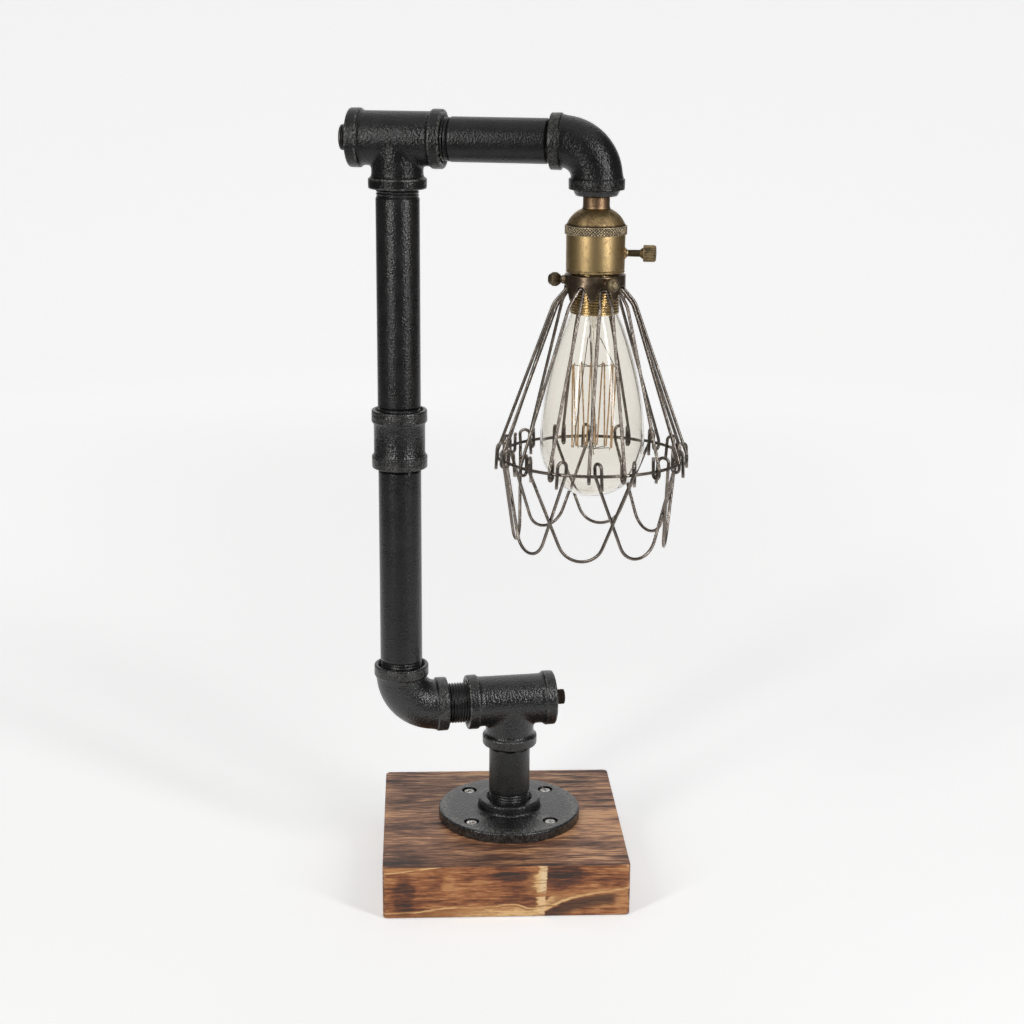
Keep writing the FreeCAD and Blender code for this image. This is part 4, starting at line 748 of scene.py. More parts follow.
        band = over.over(-0.0003, 0.0007) * under.over(-0.0006, 0.0030) * warmth
        # Painted highlight: a pale line along the lower edge of the right band, lit like the top of a raised
        # edge, above the painted shadow.
        ridge_highlight = over.over(-0.0003, 0.0004) * over.over(0.0022, 0.0010) * right
        rim = under.over(-0.0008, 0.0001) * under.over(0.0014, 0.0005) * (1.0 - right) * 0.8
        shadow = over.over(-0.0002, -0.0020) * over.over(-0.0105, -0.0060) * right * across.over(0.073, 0.064)
        fringe = graph.noise(2.2, 4.0, 0.75, stretch=(8.0, 1.0, 1.0), shift=(0.2, 0.7, 0.4)) - 0.5
        bulge = height.over(0.013, 0.022) * height.over(0.034, 0.026)
        gap = across - 0.0222 - height * 0.05 + fringe * 0.003
        feather = gap + fringe * 0.009
        knot = feather.over(-0.0052, -0.0026) * gap.over(0.0022, 0.0012)
        haze = feather.over(-0.0130, -0.0035) * gap.over(0.0020, 0.0) * bulge
        strip_low = height - 0.0300 - (across + 0.0775) * 0.12 + wave * 0.5
        strip = strip_low.over(-0.0004, 0.0006) * across.over(-0.030, -0.044)
        strip = strip * (0.45 + strip_low.over(0.0016, 0.0006) * 0.5)
        chip = self._spot(across, height, (77.0, 33.6), (3.0, 1.6))
        gold = (band + ridge_highlight + rim + knot + haze * 0.9 + strip + chip).least(1.0)
        gold = (gold * (0.9 + (streak - 0.5) * 1.4 + (dash - 0.5) * 1.6)).least(1.0).most(0.0)
        core = gap.over(-0.0040, -0.0008) * gap.over(0.0022, 0.0008) * bulge.over(-0.6, 0.6)
        light = graph.blend(core * 0.8, self.gold, self.pale)
        bright = graph.blend(gold.over(0.45, 1.0), self.tan, light)
        return graph.blend(gold, graph.blend(shadow * 0.75, toasted, self.char), bright)

    def build(self) -> Material:
        """Builds the material.

        Returns:
            The material.
        """
        graph = Graph(self.name)
        normal = graph.node("ShaderNodeNewGeometry")["Normal"]
        facing = graph.node("ShaderNodeSeparateXYZ", {}, {0: normal})
        fibre = graph.noise(1.9, 3.0, 0.7, stretch=(9.0, 1.0, 1.0))
        streak = graph.noise(4.2, 4.0, 0.66, stretch=(14.0, 1.0, 1.0), shift=(0.0, 0.4, 0.1), distortion=0.35)
        top, dark = self._top(graph, streak, fibre)
        colour = graph.blend(facing["Y"].over(-0.45, -0.85), top, self._front(graph, streak, fibre))
        chafe = graph.noise(8.0, 4.0, 0.6, shift=(0.3, 0.6, 0.9))
        # Edge wear and painted highlight: edges turn towards a warm gold, partly worn wood and partly a
        # highlight painted along them.
        scuff_and_highlight = graph.edge().over(0.20, 0.8) * chafe.over(0.40, 0.58)
        inputs = {
            "Base Color": graph.blend(scuff_and_highlight * 0.75, colour, self.edge_wear_and_highlight),
            "Roughness": dark.over(0.0, 1.0) * 0.12 + 0.36 + fibre * 0.14,
            "Normal": graph.bump(streak * 0.5 + fibre * 0.7, 0.8, 0.8),
            "Specular IOR Level": 0.40,
        }
        return graph.finish(inputs)


@dataclass(frozen=True)
class StudioPaper:
    """Pale seamless paper with a trace of its own light, brightest behind and around the lamp.

    Attributes:
        name: Material name.
        base: Reflectance of the bright paper.
        dim_base: Reflectance of the paper away from the set.
        near: Own light of the paper beside the lamp.
        wall: Own light of the paper behind the lamp.
        fill: Further light of its own where the lamps reach it least.
        dim: Own light of the paper away from the set.
        heading: Slope of the set's middle line over its depth.
        spread: Widening of the set over its depth.
    """

    name: str
    base: float = 0.75
    dim_base: float = 0.24
    near: float = 0.26
    wall: float = 0.715
    fill: float = 0.225
    dim: float = 0.04
    heading: float = 0.051
    spread: float = 0.28

    def build(self) -> Material:
        """Builds the material.

        Returns:
            The material.
        """
        graph = Graph(self.name)
        across, depth, height = graph.axes()
        reach = depth + 1.15
        beside = abs(across + 0.053 - reach * self.heading) - reach * self.spread
        share = beside.over(0.62, 0.10) * depth.over(-0.62, -0.24)
        away = (across * across + depth * depth + height * height) ** 0.5
        glow = away.over(0.25, 1.7, self.near, self.wall)
        lull = depth.over(-0.45, 0.30) * depth.over(1.45, 0.45) * self.fill
        light = share * (glow + lull - self.dim) + self.dim
        tooth = graph.noise(40.0, 2.0, 0.5) * 0.004
        base = share * (self.base - self.dim_base) + self.dim_base - tooth
        path = graph.node("ShaderNodeLightPath")
        seen = (path["Is Camera Ray"] + path["Is Glossy Ray"] + path["Is Transmission Ray"]).least(1.0)
        inputs = {"Base Color": graph.grey(base), "Roughness": 0.95, "Specular IOR Level": 0.0}
        return graph.finish({**inputs, "Emission Color": graph.grey(light * seen), "Emission Strength": 1.0})


class Finish(Enum):
    """Materials of the lamp, by the record's slots."""

    CASTING = IronPaint("black_casting", grain_mm=1.35, depth_mm=0.36, gloss=0.22, sparkle=0.10, sheen=0.70)
    # Shaded copy of the casting paint, with less sheen, for the castings nearest the top light.
    SHADED_CASTING = IronPaint(
        "top_casting", grain_mm=1.35, depth_mm=0.34, gloss=0.22, sparkle=0.08, sheen=0.33
    )
    PIPE = IronPaint("black_pipe", grain_mm=1.25, depth_mm=0.25, gloss=0.24, sparkle=0.10)
    # Shaded copy of the pipe paint, with less sheen, for the arm pipe under the top light.
    SHADED_ARM_PIPE = IronPaint(
        "arm_pipe_paint", grain_mm=1.25, depth_mm=0.22, gloss=0.24, sparkle=0.08, sheen=0.32
    )
    THREAD = IronPaint("black_thread", worn=(0.24, 0.225, 0.20), grain_mm=0.8, depth_mm=0.10, gloss=0.25)
    BRASS = AgedBrass("aged_brass")
    KNURL = AgedBrass("knurled_brass", (0.56, 0.46, 0.31), (0.07, 0.055, 0.038), patina=0.35, cavity=1.3)
    KNOB = AgedBrass("knob_brass", (0.40, 0.30, 0.165), (0.07, 0.055, 0.033), patina=0.45, cavity=0.8)
    SLEEVE = AgedBrass("sleeve_brass", bright=(0.58, 0.42, 0.20), patina=0.25, gloss=0.24, cavity=1.5)
    WIRE = BronzedWire("bronzed_wire")
    COLLAR = BronzedWire("bronzed_collar", (0.135, 0.096, 0.064), (0.40, 0.31, 0.22), gloss=0.22)
    DARK_KNOB = BronzedWire("bronzed_knob", (0.120, 0.092, 0.055), (0.38, 0.30, 0.18), gloss=0.34)
    SCREW = PlainMetal("zinc_screw")
    RUSTY = PlainMetal("rusty_tube", (0.36, 0.31, 0.27), (0.05, 0.032, 0.024), cover=0.62, gloss=0.36)
    CAP = PlainMetal("cap_metal", base=(0.62, 0.56, 0.44), cover=0.15)
    GLASS = BulbGlass("bulb_glass")
    FILAMENT = GlowingWire("filament")
    SUPPORT = PlainMetal("support_wire", base=(0.34, 0.30, 0.26), cover=0.2, gloss=0.3)
    WOOD = TorchedPine("torched_pine")
    PAPER = Plain("liner_paper", (0.36, 0.25, 0.13), (0.22, 0.14, 0.07), 1.2, (1.0, 1.0, 2.0))
    MOULDING = Plain("switch_moulding", (0.030, 0.026, 0.023), (0.018, 0.016, 0.014), 0.6, gloss=0.35)
    BRAID = Plain("lead_braid", (0.022, 0.022, 0.023), (0.008, 0.008, 0.008), 0.5, (1.0, 1.0, 1.4), 0.75)
    STUDIO = StudioPaper("studio_paper")


# Nodes near the top light, given shaded copies of the iron paint whose lower sheen dims the top light's
# highlights on them.
SHADED_PAINTS = {"top_tee": Finish.SHADED_CASTING, "arm_elbow": Finish.SHADED_CASTING, "arm_pipe": Finish.SHADED_ARM_PIPE}


@cache
def material_of(finish: Finish) -> Material:
    """Builds a finish once and then reuses it."""
    return finish.value.build()


# ---------- meshes

WELD_MM = 0.004
WEAR_ROUNDS = 2


def rounded(corners: Sequence[tuple[float, ...]], steps: int = 5, closed: bool = False) -> Profile:
    """Polyline with rounded corners.

    Args:
        corners: Points (across, along) or (across, along, radius) in millimetres.
        steps: Segments of a rounded corner.
        closed: Whether the last point joins the first.

    Returns:
        The points of the rounded polyline.
    """
    points = [np.array(corner[:2], float) for corner in corners]
    result: Profile = []
    count = len(corners)
    for index, corner in enumerate(corners):
        radius = corner[2] if len(corner) > 2 else 0.0
        inner = closed or 0 < index < count - 1
        if not (inner and radius):
            result.append((float(corner[0]), float(corner[1])))
            continue
        before = points[index - 1] - points[index]
        after = points[(index + 1) % count] - points[index]
        before_length, after_length = np.linalg.norm(before), np.linalg.norm(after)
        before, after = before / before_length, after / after_length
        half = math.acos(float(np.clip(before @ after, -1.0, 1.0))) / 2.0
        cut = min(radius / math.tan(half), before_length * 0.49, after_length * 0.49)
        start, stop = points[index] + before * cut, points[index] + after * cut
        for step in range(steps + 1):
            share = step / steps
            spot = (1 - share) ** 2 * start + 2 * share * (1 - share) * points[index] + share**2 * stop
            result.append((float(spot[0]), float(spot[1])))
    return result


def arc(centre: Point, radius: float, start: float, stop: float, steps: int) -> Profile:
    """Points of a circular arc from one angle in degrees to another."""
    angles = np.radians(np.linspace(start, stop, steps + 1))
    return [(centre[0] + radius * math.cos(a), centre[1] + radius * math.sin(a)) for a in angles]


def circle(around: int) -> tuple[np.ndarray, np.ndarray, np.ndarray]:
    """Even angles around a circle, with their cosines and sines."""
    angles = np.arange(around) / around * TAU
    return angles, np.cos(angles), np.sin(angles)


def unit(vector: np.ndarray) -> np.ndarray:
    """Vector of length 1 in the direction of another."""
    return vector / np.linalg.norm(vector)


class Build:
    """Mesh that grows from grids of points, in millimetres.

    Attributes:
        points: Blocks of vertices.
        faces: Faces as tuples of vertex numbers.
        count: Number of vertices.
    """

    def __init__(self) -> None:
        """Starts with an empty mesh."""
        self.points: list[np.ndarray] = []
        self.faces: list[tuple[int, ...]] = []
        self.count = 0

    def grid(self, rows: np.ndarray, loop: bool = False) -> "Build":
        """Adds a grid of quads whose last column joins the first.

        Args:
            rows: Points as an array of rows, columns and coordinates.
            loop: Whether the last row joins the first.

        Returns:
            The build itself.
        """
        tall, wide = rows.shape[:2]
        first = self.count
        self.points.append(rows.reshape(-1, 3))
        self.count += tall * wide
        for row in range(tall if loop else tall - 1):
            low, high = first + row * wide, first + (row + 1) % tall * wide
            for column in range(wide):
                beside = (column + 1) % wide
                self.faces.append((low + column, low + beside, high + beside, high + column))
        return self

    def capped(self, wide: int, tall: int) -> "Build":
        """Closes the last and the first row of the grid that was added last.

        Args:
            wide: Points in a row.
            tall: Number of rows.

        Returns:
            The build itself.
        """
        start = self.count - wide * tall
        self.faces.append(tuple(range(self.count - wide, self.count)))
        self.faces.append(tuple(range(start + wide - 1, start - 1, -1)))
        return self

    def lathe(
        self, profile: Profile, around: int = 96, rule: RadiusRule | None = None, loop: bool = False
    ) -> "Build":
        """Adds a turned shape about Z.

        Args:
            profile: Radius and height of each row.
            around: Points around.
            rule: Gives the radius from the angles, the row's radius and its height.
            loop: Whether the profile is closed.

        Returns:
            The build itself.
        """
        angles, across, along = circle(around)
        rows = np.zeros((len(profile), around, 3))
        for index, (radius, height) in enumerate(profile):
            radii = rule(angles, radius, height) if rule and radius > 0 else radius
            rows[index, :, 0], rows[index, :, 1] = radii * across, radii * along
            rows[index, :, 2] = height
        return self.grid(rows, loop)

    def sweep(self, path: np.ndarray, radii: np.ndarray, around: int = 12, loop: bool = False) -> "Build":
        """Adds a tube along a path.

        Args:
            path: Points of its middle line.
            radii: Radius at each point.
            around: Points around.
            loop: Whether the path is closed.

        Returns:
            The build itself.
        """
        ahead = np.roll(path, -1, 0) - np.roll(path, 1, 0)
        if not loop:
            ahead[0], ahead[-1] = path[1] - path[0], path[-1] - path[-2]
        for index in range(1, len(path)):
            if np.linalg.norm(ahead[index]) < 1e-9:
                ahead[index] = ahead[index - 1]
        ahead /= np.linalg.norm(ahead, axis=1)[:, None]
        side = unit(np.cross(ahead[0], (0.3, 0.5, 0.81)))
        _, cosines, sines = circle(around)
        rows = np.zeros((len(path), around, 3))
        for index, (spot, along, radius) in enumerate(zip(path, ahead, radii)):
            side = unit(side - along * (side @ along))
            other = np.cross(along, side)
            rows[index] = spot + radius * (cosines[:, None] * side + sines[:, None] * other)
        return self.grid(rows, loop)

    def wire(self, path: np.ndarray, radius: float, around: int = 12, dome: float = 1.0) -> "Build":
        """Adds a round wire with rounded ends.

        Args:
            path: Points of its middle line.
            radius: Radius of the wire.
            around: Points around.
            dome: Roundness of the ends, 0 for flat and 1 for half a ball.

        Returns:
            The build itself.
        """
        first, last = unit(path[0] - path[1]), unit(path[-1] - path[-2])
        lifts = np.radians((0.0, 30.0, 60.0, 84.0))
        inset = radius * dome
        body = path.copy()
        body[0], body[-1] = body[0] - first * inset, body[-1] - last * inset
        heads = [body[0] + first * inset * math.sin(a) for a in lifts[:0:-1]]
        tails = [body[-1] + last * inset * math.sin(a) for a in lifts[1:]]
        slim = radius * np.cos(lifts[1:])
        radii = np.concatenate([slim[::-1], np.full(len(body), radius), slim])
        return self.sweep(np.array([*heads, *body, *tails]), radii, around).capped(around, len(radii))

    def moved(self, place: Matrix) -> "Build":
        """Moves everything built so far.

        Args:
            place: Transform with its shift in millimetres.

        Returns:
            The build itself.
        """
        turn = np.array(place)
        self.points = [block @ turn[:3, :3].T + turn[:3, 3] for block in self.points]
        return self

    def join(self, other: "Build") -> "Build":
        """Adds another build.

        Args:
            other: The build to add.

        Returns:
            The build itself.
        """
        self.points += other.points
        self.faces += [tuple(index + self.count for index in face) for face in other.faces]
        self.count += other.count
        return self

    def mesh(self, name: str, sharp: float = 40.0) -> Mesh:
        """Makes the Blender mesh in metres, its coinciding points merged.

        Args:
            name: Name of the mesh.
            sharp: Angle in degrees from which an edge is sharp.

        Returns:
            The mesh.
        """
        made = bpy.data.meshes.new(name)
        made.from_pydata((np.concatenate(self.points) * MM).tolist(), [], self.faces)
        work = bmesh.new()
        work.from_mesh(made)
        bmesh.ops.remove_doubles(work, verts=work.verts, dist=WELD_MM * MM)
        bmesh.ops.recalc_face_normals(work, faces=work.faces)
        work.to_mesh(made)
        work.free()
        smooth(made, sharp)
        return made


def coat(mesh: Mesh, finish: Finish) -> None:
    """Gives a mesh its one finish."""
    mesh.materials.clear()
    mesh.materials.append(material_of(finish))


def smooth(mesh: Mesh, sharp: float) -> None:
    """Shades a mesh smooth up to an angle in degrees."""
    mesh.polygons.foreach_set("use_smooth", np.ones(len(mesh.polygons), bool))
    mesh.set_sharp_from_angle(angle=math.radians(sharp))


def mark_edges(mesh: Mesh, reach_mm: float) -> None:
    """Stores how far each vertex stands proud of its neighbours, for wear, dirt and the highlights painted
    along edges.

    Args:
        mesh: The mesh.
        reach_mm: Height that counts as a full edge.
    """
    count = len(mesh.vertices)
    spots, normals = values_of(mesh.vertices, "co"), values_of(mesh.vertices, "normal")
    pairs = np.zeros(len(mesh.edges) * 2, int)
    mesh.edges.foreach_get("vertices", pairs)
    pairs = pairs.reshape(-1, 2)
    total, share = np.zeros((count, 3)), np.zeros(count)
    for a, b in ((0, 1), (1, 0)):
        np.add.at(total, pairs[:, a], spots[pairs[:, b]])
        np.add.at(share, pairs[:, a], 1)
    lean = spots - total / np.maximum(share, 1)[:, None]
    proud = np.einsum("ij,ij->i", lean, normals) / (reach_mm * MM)
    for _ in range(WEAR_ROUNDS):
        spread = np.zeros(count)
        for a, b in ((0, 1), (1, 0)):
            np.add.at(spread, pairs[:, a], proud[pairs[:, b]])
        proud = 0.5 * proud + 0.5 * spread / np.maximum(share, 1)
    layer = mesh.attributes.new(EDGE, "FLOAT", "POINT")
    layer.data.foreach_set("value", np.clip(proud, -1.0, 1.0).astype(np.float32))


def linked(name: str, data: ID) -> Object:
    """Makes an object of a mesh, light or camera and puts it in the scene."""
    made = bpy.data.objects.new(name, data)
    bpy.context.scene.collection.objects.link(made)
    return made


def place_piece(
    mesh: Mesh, finish: Finish, body: str, node: str, edge_mm: float
) -> None:
    """Puts a finished mesh in the scene as a piece of the lamp.

    Args:
        mesh: The mesh in row-frame metres.
        finish: Its finish.
        body: CAD body that it rides on.
        node: CAD node that it stands for.
        edge_mm: Height of a full edge, for wear and for the highlights painted along edges.
    """
    mark_edges(mesh, edge_mm)
    coat(mesh, finish)
    made = linked(mesh.name, mesh)
    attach(made, body)
    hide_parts(node)
    LOG.info("%s: %d faces", made.name, len(mesh.polygons))


def with_modifier(
    mesh: Mesh, kind: str, settings: dict[str, object], group: np.ndarray | None = None
) -> Mesh:
    """Applies one modifier to a mesh.

    Args:
        mesh: The mesh.
        kind: Modifier type.
        settings: Its properties.
        group: Weight of each vertex, for a modifier that works on a vertex group.

    Returns:
        The changed mesh, under the same name.
    """
    name = mesh.name
    holder = linked("work", mesh)
    modifier = holder.modifiers.new("work", kind)
    for key, setting in settings.items():
        setattr(modifier, key, setting)
    if group is not None:
        layer = holder.vertex_groups.new(name="share")
        for index in np.nonzero(group > 0.01)[0]:
            layer.add([int(index)], float(group[index]), "REPLACE")
        modifier.vertex_group = "share"
    changed = bpy.data.meshes.new_from_object(holder.evaluated_get(bpy.context.evaluated_depsgraph_get()))
    bpy.data.objects.remove(holder)
    bpy.data.meshes.remove(mesh)
    changed.name = name
    return changed


def values_of(vertices: MeshVertices, name: str) -> np.ndarray:
    """Reads a vector of every vertex.

    Args:
        vertices: The mesh's vertices.
        name: Name of the vector, such as co.

    Returns:
        An array of vectors.
    """
    values = np.zeros(len(vertices) * 3)
    vertices.foreach_get(name, values)
    return values.reshape(-1, 3)


def thread(
    root: float, crest: float, pitch: float, start: float, stop: float, run_out: float = 0.0
) -> RadiusRule:
    """Rule of a right-hand screw thread.

    Args:
        root: Radius at the thread's root.
        crest: Radius at its crest.
        pitch: Its pitch.
        start: Height where it begins.
        stop: Height where it ends.
        run_out: Length over which it fades in at its ends.

    Returns:
        A rule for a turned shape.
    """

    def rule(angles: np.ndarray, radius: float, height: float) -> Union[np.ndarray, float]:
        """Radius around a row of the thread.

        Args:
            angles: Angles around the row.
            radius: Radius of the profile there.
            height: Height of the row.

        Returns:
            The radius at each angle.
        """
        if not start - 1e-6 <= height <= stop + 1e-6:
            return radius
        phase = ((height - start) / pitch + angles / TAU) % 1.0
        wave = 1.0 - np.abs(2.0 * phase - 1.0)
        wave = wave * wave * (3.0 - 2.0 * wave)
        fade = 1.0
        if run_out:
            fade = float(np.clip(min(height - start, stop - height) / run_out, 0.0, 1.0))
        return root + (crest - root) * (wave * fade + (1.0 - fade) * 0.5)

    return rule


def flutes(
    depth: float, waves: float, power: int, start: float, stop: float, least: float = 0.0
) -> RadiusRule:
    """Rule that cuts flutes into a knob.

    Args:
        depth: Depth of a flute.
        waves: Half of their number.
        power: How narrow they are.
        start: Height where they begin.
        stop: Height where they end.
        least: Smallest radius that is fluted.

    Returns:
        A rule for a turned shape.
    """

    def rule(angles: np.ndarray, radius: float, height: float) -> Union[np.ndarray, float]:
        """Radius around a row of the knob."""
        if height < start or height > stop or radius < least:
            return radius
        return radius - depth * np.abs(np.cos(waves * angles)) ** power

    return rule


def wall(radius: float, start: float, stop: float, step: float) -> Profile:
    """Rows of a straight wall from one height to another, at most a step apart."""
    count = max(int(math.ceil(abs(stop - start) / step)), 1)
    return [(radius, float(level)) for level in np.linspace(start, stop, count + 1)]


# ---------- places in the lamp

# Heights of what hangs below the arm elbow's corner, one below the other.
HEAD_REACH = 27.4
REDUCER_SHOWS = 3.7
NIPPLE_SHOWS = 5.5
CAP_SHOWS = 11.4
CAP_GAP = 0.2
SHELL_TALL = 27.6
CAP_FOOT = HEAD_REACH + REDUCER_SHOWS + NIPPLE_SHOWS + CAP_SHOWS
SHELL_FOOT = CAP_FOOT + CAP_GAP + SHELL_TALL


@dataclass(frozen=True)
class Places:
    """Frames of the lamp's sub-assemblies, in millimetres, read from the CAD joints.

    Attributes:
        base: Middle of the flange's underside, Z up.
        lower: Middle of the base tee, X along the lower arm towards the outlet.
        corner: Middle of the lower elbow.
        column: Foot of the column's axis at the coupling's middle.
        upper: Middle of the top tee, X along the arm.
        head: Corner of the arm elbow, X along the arm.
        key: Middle of the switch key, X along the key.
    """

    base: Matrix
    lower: Matrix
    corner: Matrix
    column: Matrix
    upper: Matrix
    head: Matrix
    key: Matrix

    @staticmethod
    def frame_at(spot: Vector, direction: Vector) -> Matrix:
        """Upright frame at a point in millimetres, its X axis along a level direction."""
        return Matrix.Translation(spot) @ Matrix.Rotation(math.atan2(direction.y, direction.x), 4, "Z")

    @classmethod
    def read(cls, joints: Sequence[dict[str, object]]) -> "Places":
        """Reads the frames from the joints.

        Args:
            joints: The frame's joints.

        Returns:
            The frames.
        """
        at = {joint["name"]: Vector(joint["pos_m"]) / MM for joint in joints}
        along = {joint["name"]: Vector(joint["axis"]) for joint in joints}
        base, column, head = at["lower_arm_swing"], at["arm_swing"], at["head_tilt"]
        arm = along["head_tilt"]
        lower_direction = Vector((base.x - column.x, base.y - column.y, 0.0))
        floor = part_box("floor_flange")[0].z / MM
        corner = Vector((column.x, column.y, base.z))
        upper = Vector((column.x, column.y, head.z))
        return cls(
            base=shifted(base.x, base.y) @ lift(floor),
            lower=cls.frame_at(base, lower_direction),
            corner=cls.frame_at(corner, lower_direction),
            column=cls.frame_at(column, arm),
            upper=cls.frame_at(upper, arm),
            head=cls.frame_at(head, arm),
            key=cls.frame_at(at["switch_turn"], along["switch_turn"]),
        )


def up_to_x(side: float = 1.0) -> Matrix:
    """Turn that lays a shape's Z axis along +X, or along -X for a side of -1."""
    return Matrix.Rotation(side * math.pi / 2.0, 4, "Y")


def turned(degrees: float) -> Matrix:
    """Turn about Z by an angle in degrees."""
    return Matrix.Rotation(math.radians(degrees), 4, "Z")


def lift(height: float) -> Matrix:
    """Shift along Z by a height in millimetres."""
    return Matrix.Translation(Vector((0.0, 0.0, height)))


def shifted(across: float, along: float = 0.0) -> Matrix:
    """Shift along X and Y by distances in millimetres."""
    return Matrix.Translation(Vector((across, along, 0.0)))


# ---------- base


@dataclass
class Base:
    """Wooden block, floor flange, wood screws and riser.

    Attributes:
        places: Frames of the lamp.
        side: Side of the block.
        tall: Height of the block.
        flange: Radius of the flange.
        thick: Thickness of the flange.
        hub: Radius of its hub.
        hub_tall: Height of its hub.
        bore: Radius of its bore.
        circle: Radius of the screw circle.
    """

    places: Places
    side: float = 155.0
    tall: float = 34.5
    flange: float = 46.5
    thick: float = 6.7
    hub: float = 20.3
    hub_tall: float = 13.3
    bore: float = 13.3
    circle: float = 36.2

    def block(self) -> None:
        """Makes the block with rounded edges, slightly uneven as brushed wood is."""
        half, corner, edge = self.side / 2.0, 3.0, 1.2
        signs = [(1, 1), (-1, 1), (-1, -1), (1, -1), (1, 1)]
        ways = [(0, 1), (-1, 0), (0, -1), (1, 0)]
        plan: Profile = []
        for quarter, (sign, following, way) in enumerate(zip(signs, signs[1:], ways)):
            spot = (half - corner) * np.array(sign)
            plan += arc((spot[0], spot[1]), corner, 90.0 * quarter, 90.0 * quarter + 90.0, 6)
            start, stop = np.array(plan[-1]), (half - corner) * np.array(following) + corner * np.array(way)
            plan += [tuple(start + (stop - start) * share) for share in np.linspace(0, 1, 60)[1:-1]]
        outline = np.array(plan)
        turns = np.radians(np.linspace(0, 90, 6))
        inset = [(edge * (1 - math.sin(a)), edge * (1 - math.cos(a))) for a in turns]
        levels = [*inset, *wall(0.0, edge, self.tall - edge, 1.6)[1:-1]]
        levels += [(away, self.tall - low) for away, low in reversed(inset)]
        rows = np.zeros((len(levels), len(outline), 3))
        for index, (away, level) in enumerate(levels):
            rows[index, :, :2] = outline * ((half - away) / half)
            rows[index, :, 2] = level
        sway = np.sin(rows[..., 0] * 0.9 + 1.3 * np.sin(rows[..., 2] * 0.35))
        wobble = 0.10 * sway * np.sin(rows[..., 2] * 0.5)
        rows[..., 1] -= np.sign(rows[..., 1]) * (0.12 + wobble) * (np.abs(rows[..., 1]) > half - 1.3)
        mesh = Build().grid(rows).capped(len(outline), len(levels)).mesh("wood_block", 30.0)
        place_piece(mesh, Finish.WOOD, "base", "wood_base", 0.25)

    def _screw_spots(self) -> list[Matrix]:
        """Shifts from the flange's middle to its four screws."""
        bearings = [math.radians(45.0 + 90.0 * index) for index in range(4)]
        return [shifted(self.circle * math.cos(a), self.circle * math.sin(a)) for a in bearings]

    def floor_flange(self) -> None:
        """Makes the flange, its screw holes cut out of the turned shape."""
        corners = [
            (self.bore, 1.0),
            (self.bore, 0.0),
            (self.flange, 0.0, 0.5),
            (self.flange, self.thick, 1.8),
            (self.hub + 0.2, self.thick, 2.0),
            (self.hub, self.hub_tall, 1.8),
            (15.2, self.hub_tall, 0.4),
            (13.5, self.hub_tall - 1.8),
            (self.bore, self.hub_tall - 4.0),
        ]
        mesh = Build().lathe(rounded(corners, 7, True), 160, loop=True).mesh("flange_disc")
        above = self.thick + 1.0
        hole = [(0.0, -1.0), (2.6, -1.0), (2.6, 1.6), (4.4, 3.4), (4.9, self.thick - 0.5), (5.4, above)]
        for spot in self._screw_spots():
            drill = linked("drill", Build().lathe([*hole, (0.0, above)], 48).moved(spot).mesh("drill"))
            settings = {"operation": "DIFFERENCE", "object": drill, "solver": "EXACT"}
            mesh = with_modifier(mesh, "BOOLEAN", settings)
            bpy.data.objects.remove(drill)
        mesh.transform(scaled(self.places.base))
        smooth(mesh, 34.0)
        place_piece(mesh, Finish.CASTING, "base", "floor_flange", 0.10)

    def screws(self) -> None:
        """Makes the countersunk cross-head screws in the flange."""
        build = Build()
        top, slot_reach, slot_depth = self.thick - 0.75, 3.25, 1.25
        rings, around, twists = 12, 64, (20.0, -35.0, 62.0, 8.0)
        corners = [(0.0, top), (3.2, top, 0.5), (3.9, top - 0.45, 0.3), (2.1, top - 2.3), (2.0, top - 6.0)]
        head = rounded(corners, 4)
        angles, cosines, sines = circle(around)
        for spot, twist in zip(self._screw_spots(), twists):
            rows = np.zeros((rings, around, 3))
            cross = np.abs(np.cos(2.0 * (angles - math.radians(twist)))) ** 6
            for row, share in enumerate(np.linspace(0.0, 1.0, rings)):
                reach = share * slot_reach
                depth = slot_depth * np.clip(1.0 - (reach / (0.65 + 1.75 * cross)) ** 4, 0.0, 1.0)
                rows[row] = np.column_stack([reach * cosines, reach * sines, top - depth])
            build.join(Build().grid(rows).lathe(head[6:], around).moved(self.places.base @ spot))
        mesh = build.mesh("wood_screws", 30.0)
        place_piece(mesh, Finish.SCREW, "base", "flange_screws", 0.05)

    def riser(self) -> None:
        """Makes the riser with its thread showing above the hub."""
        place = self.places.base @ lift(self.hub_tall)
        pipe_piece("riser_pipe", place, 37.7, "base", "base_nipple", 4.4, 1.6)

    def make(self) -> None:
        """Makes every piece of the base."""
        self.block()
        self.floor_flange()
        self.screws()
        self.riser()


def scaled(place: Matrix) -> Matrix:
    """Frame in millimetres as a transform in metres.

    Args:
        place: The frame.

    Returns:
        The transform for a mesh that is already in metres.
    """
    made = place.copy()
    made.translation = made.translation * MM
    return made


# ---------- pipes and fittings

PIPE_RADIUS = 13.35
PIPE_BORE = 10.6
THREAD_ROOT = 12.45
THREAD_CREST = 13.12
THREAD_PITCH = 1.814
THREAD_STEP = 0.26


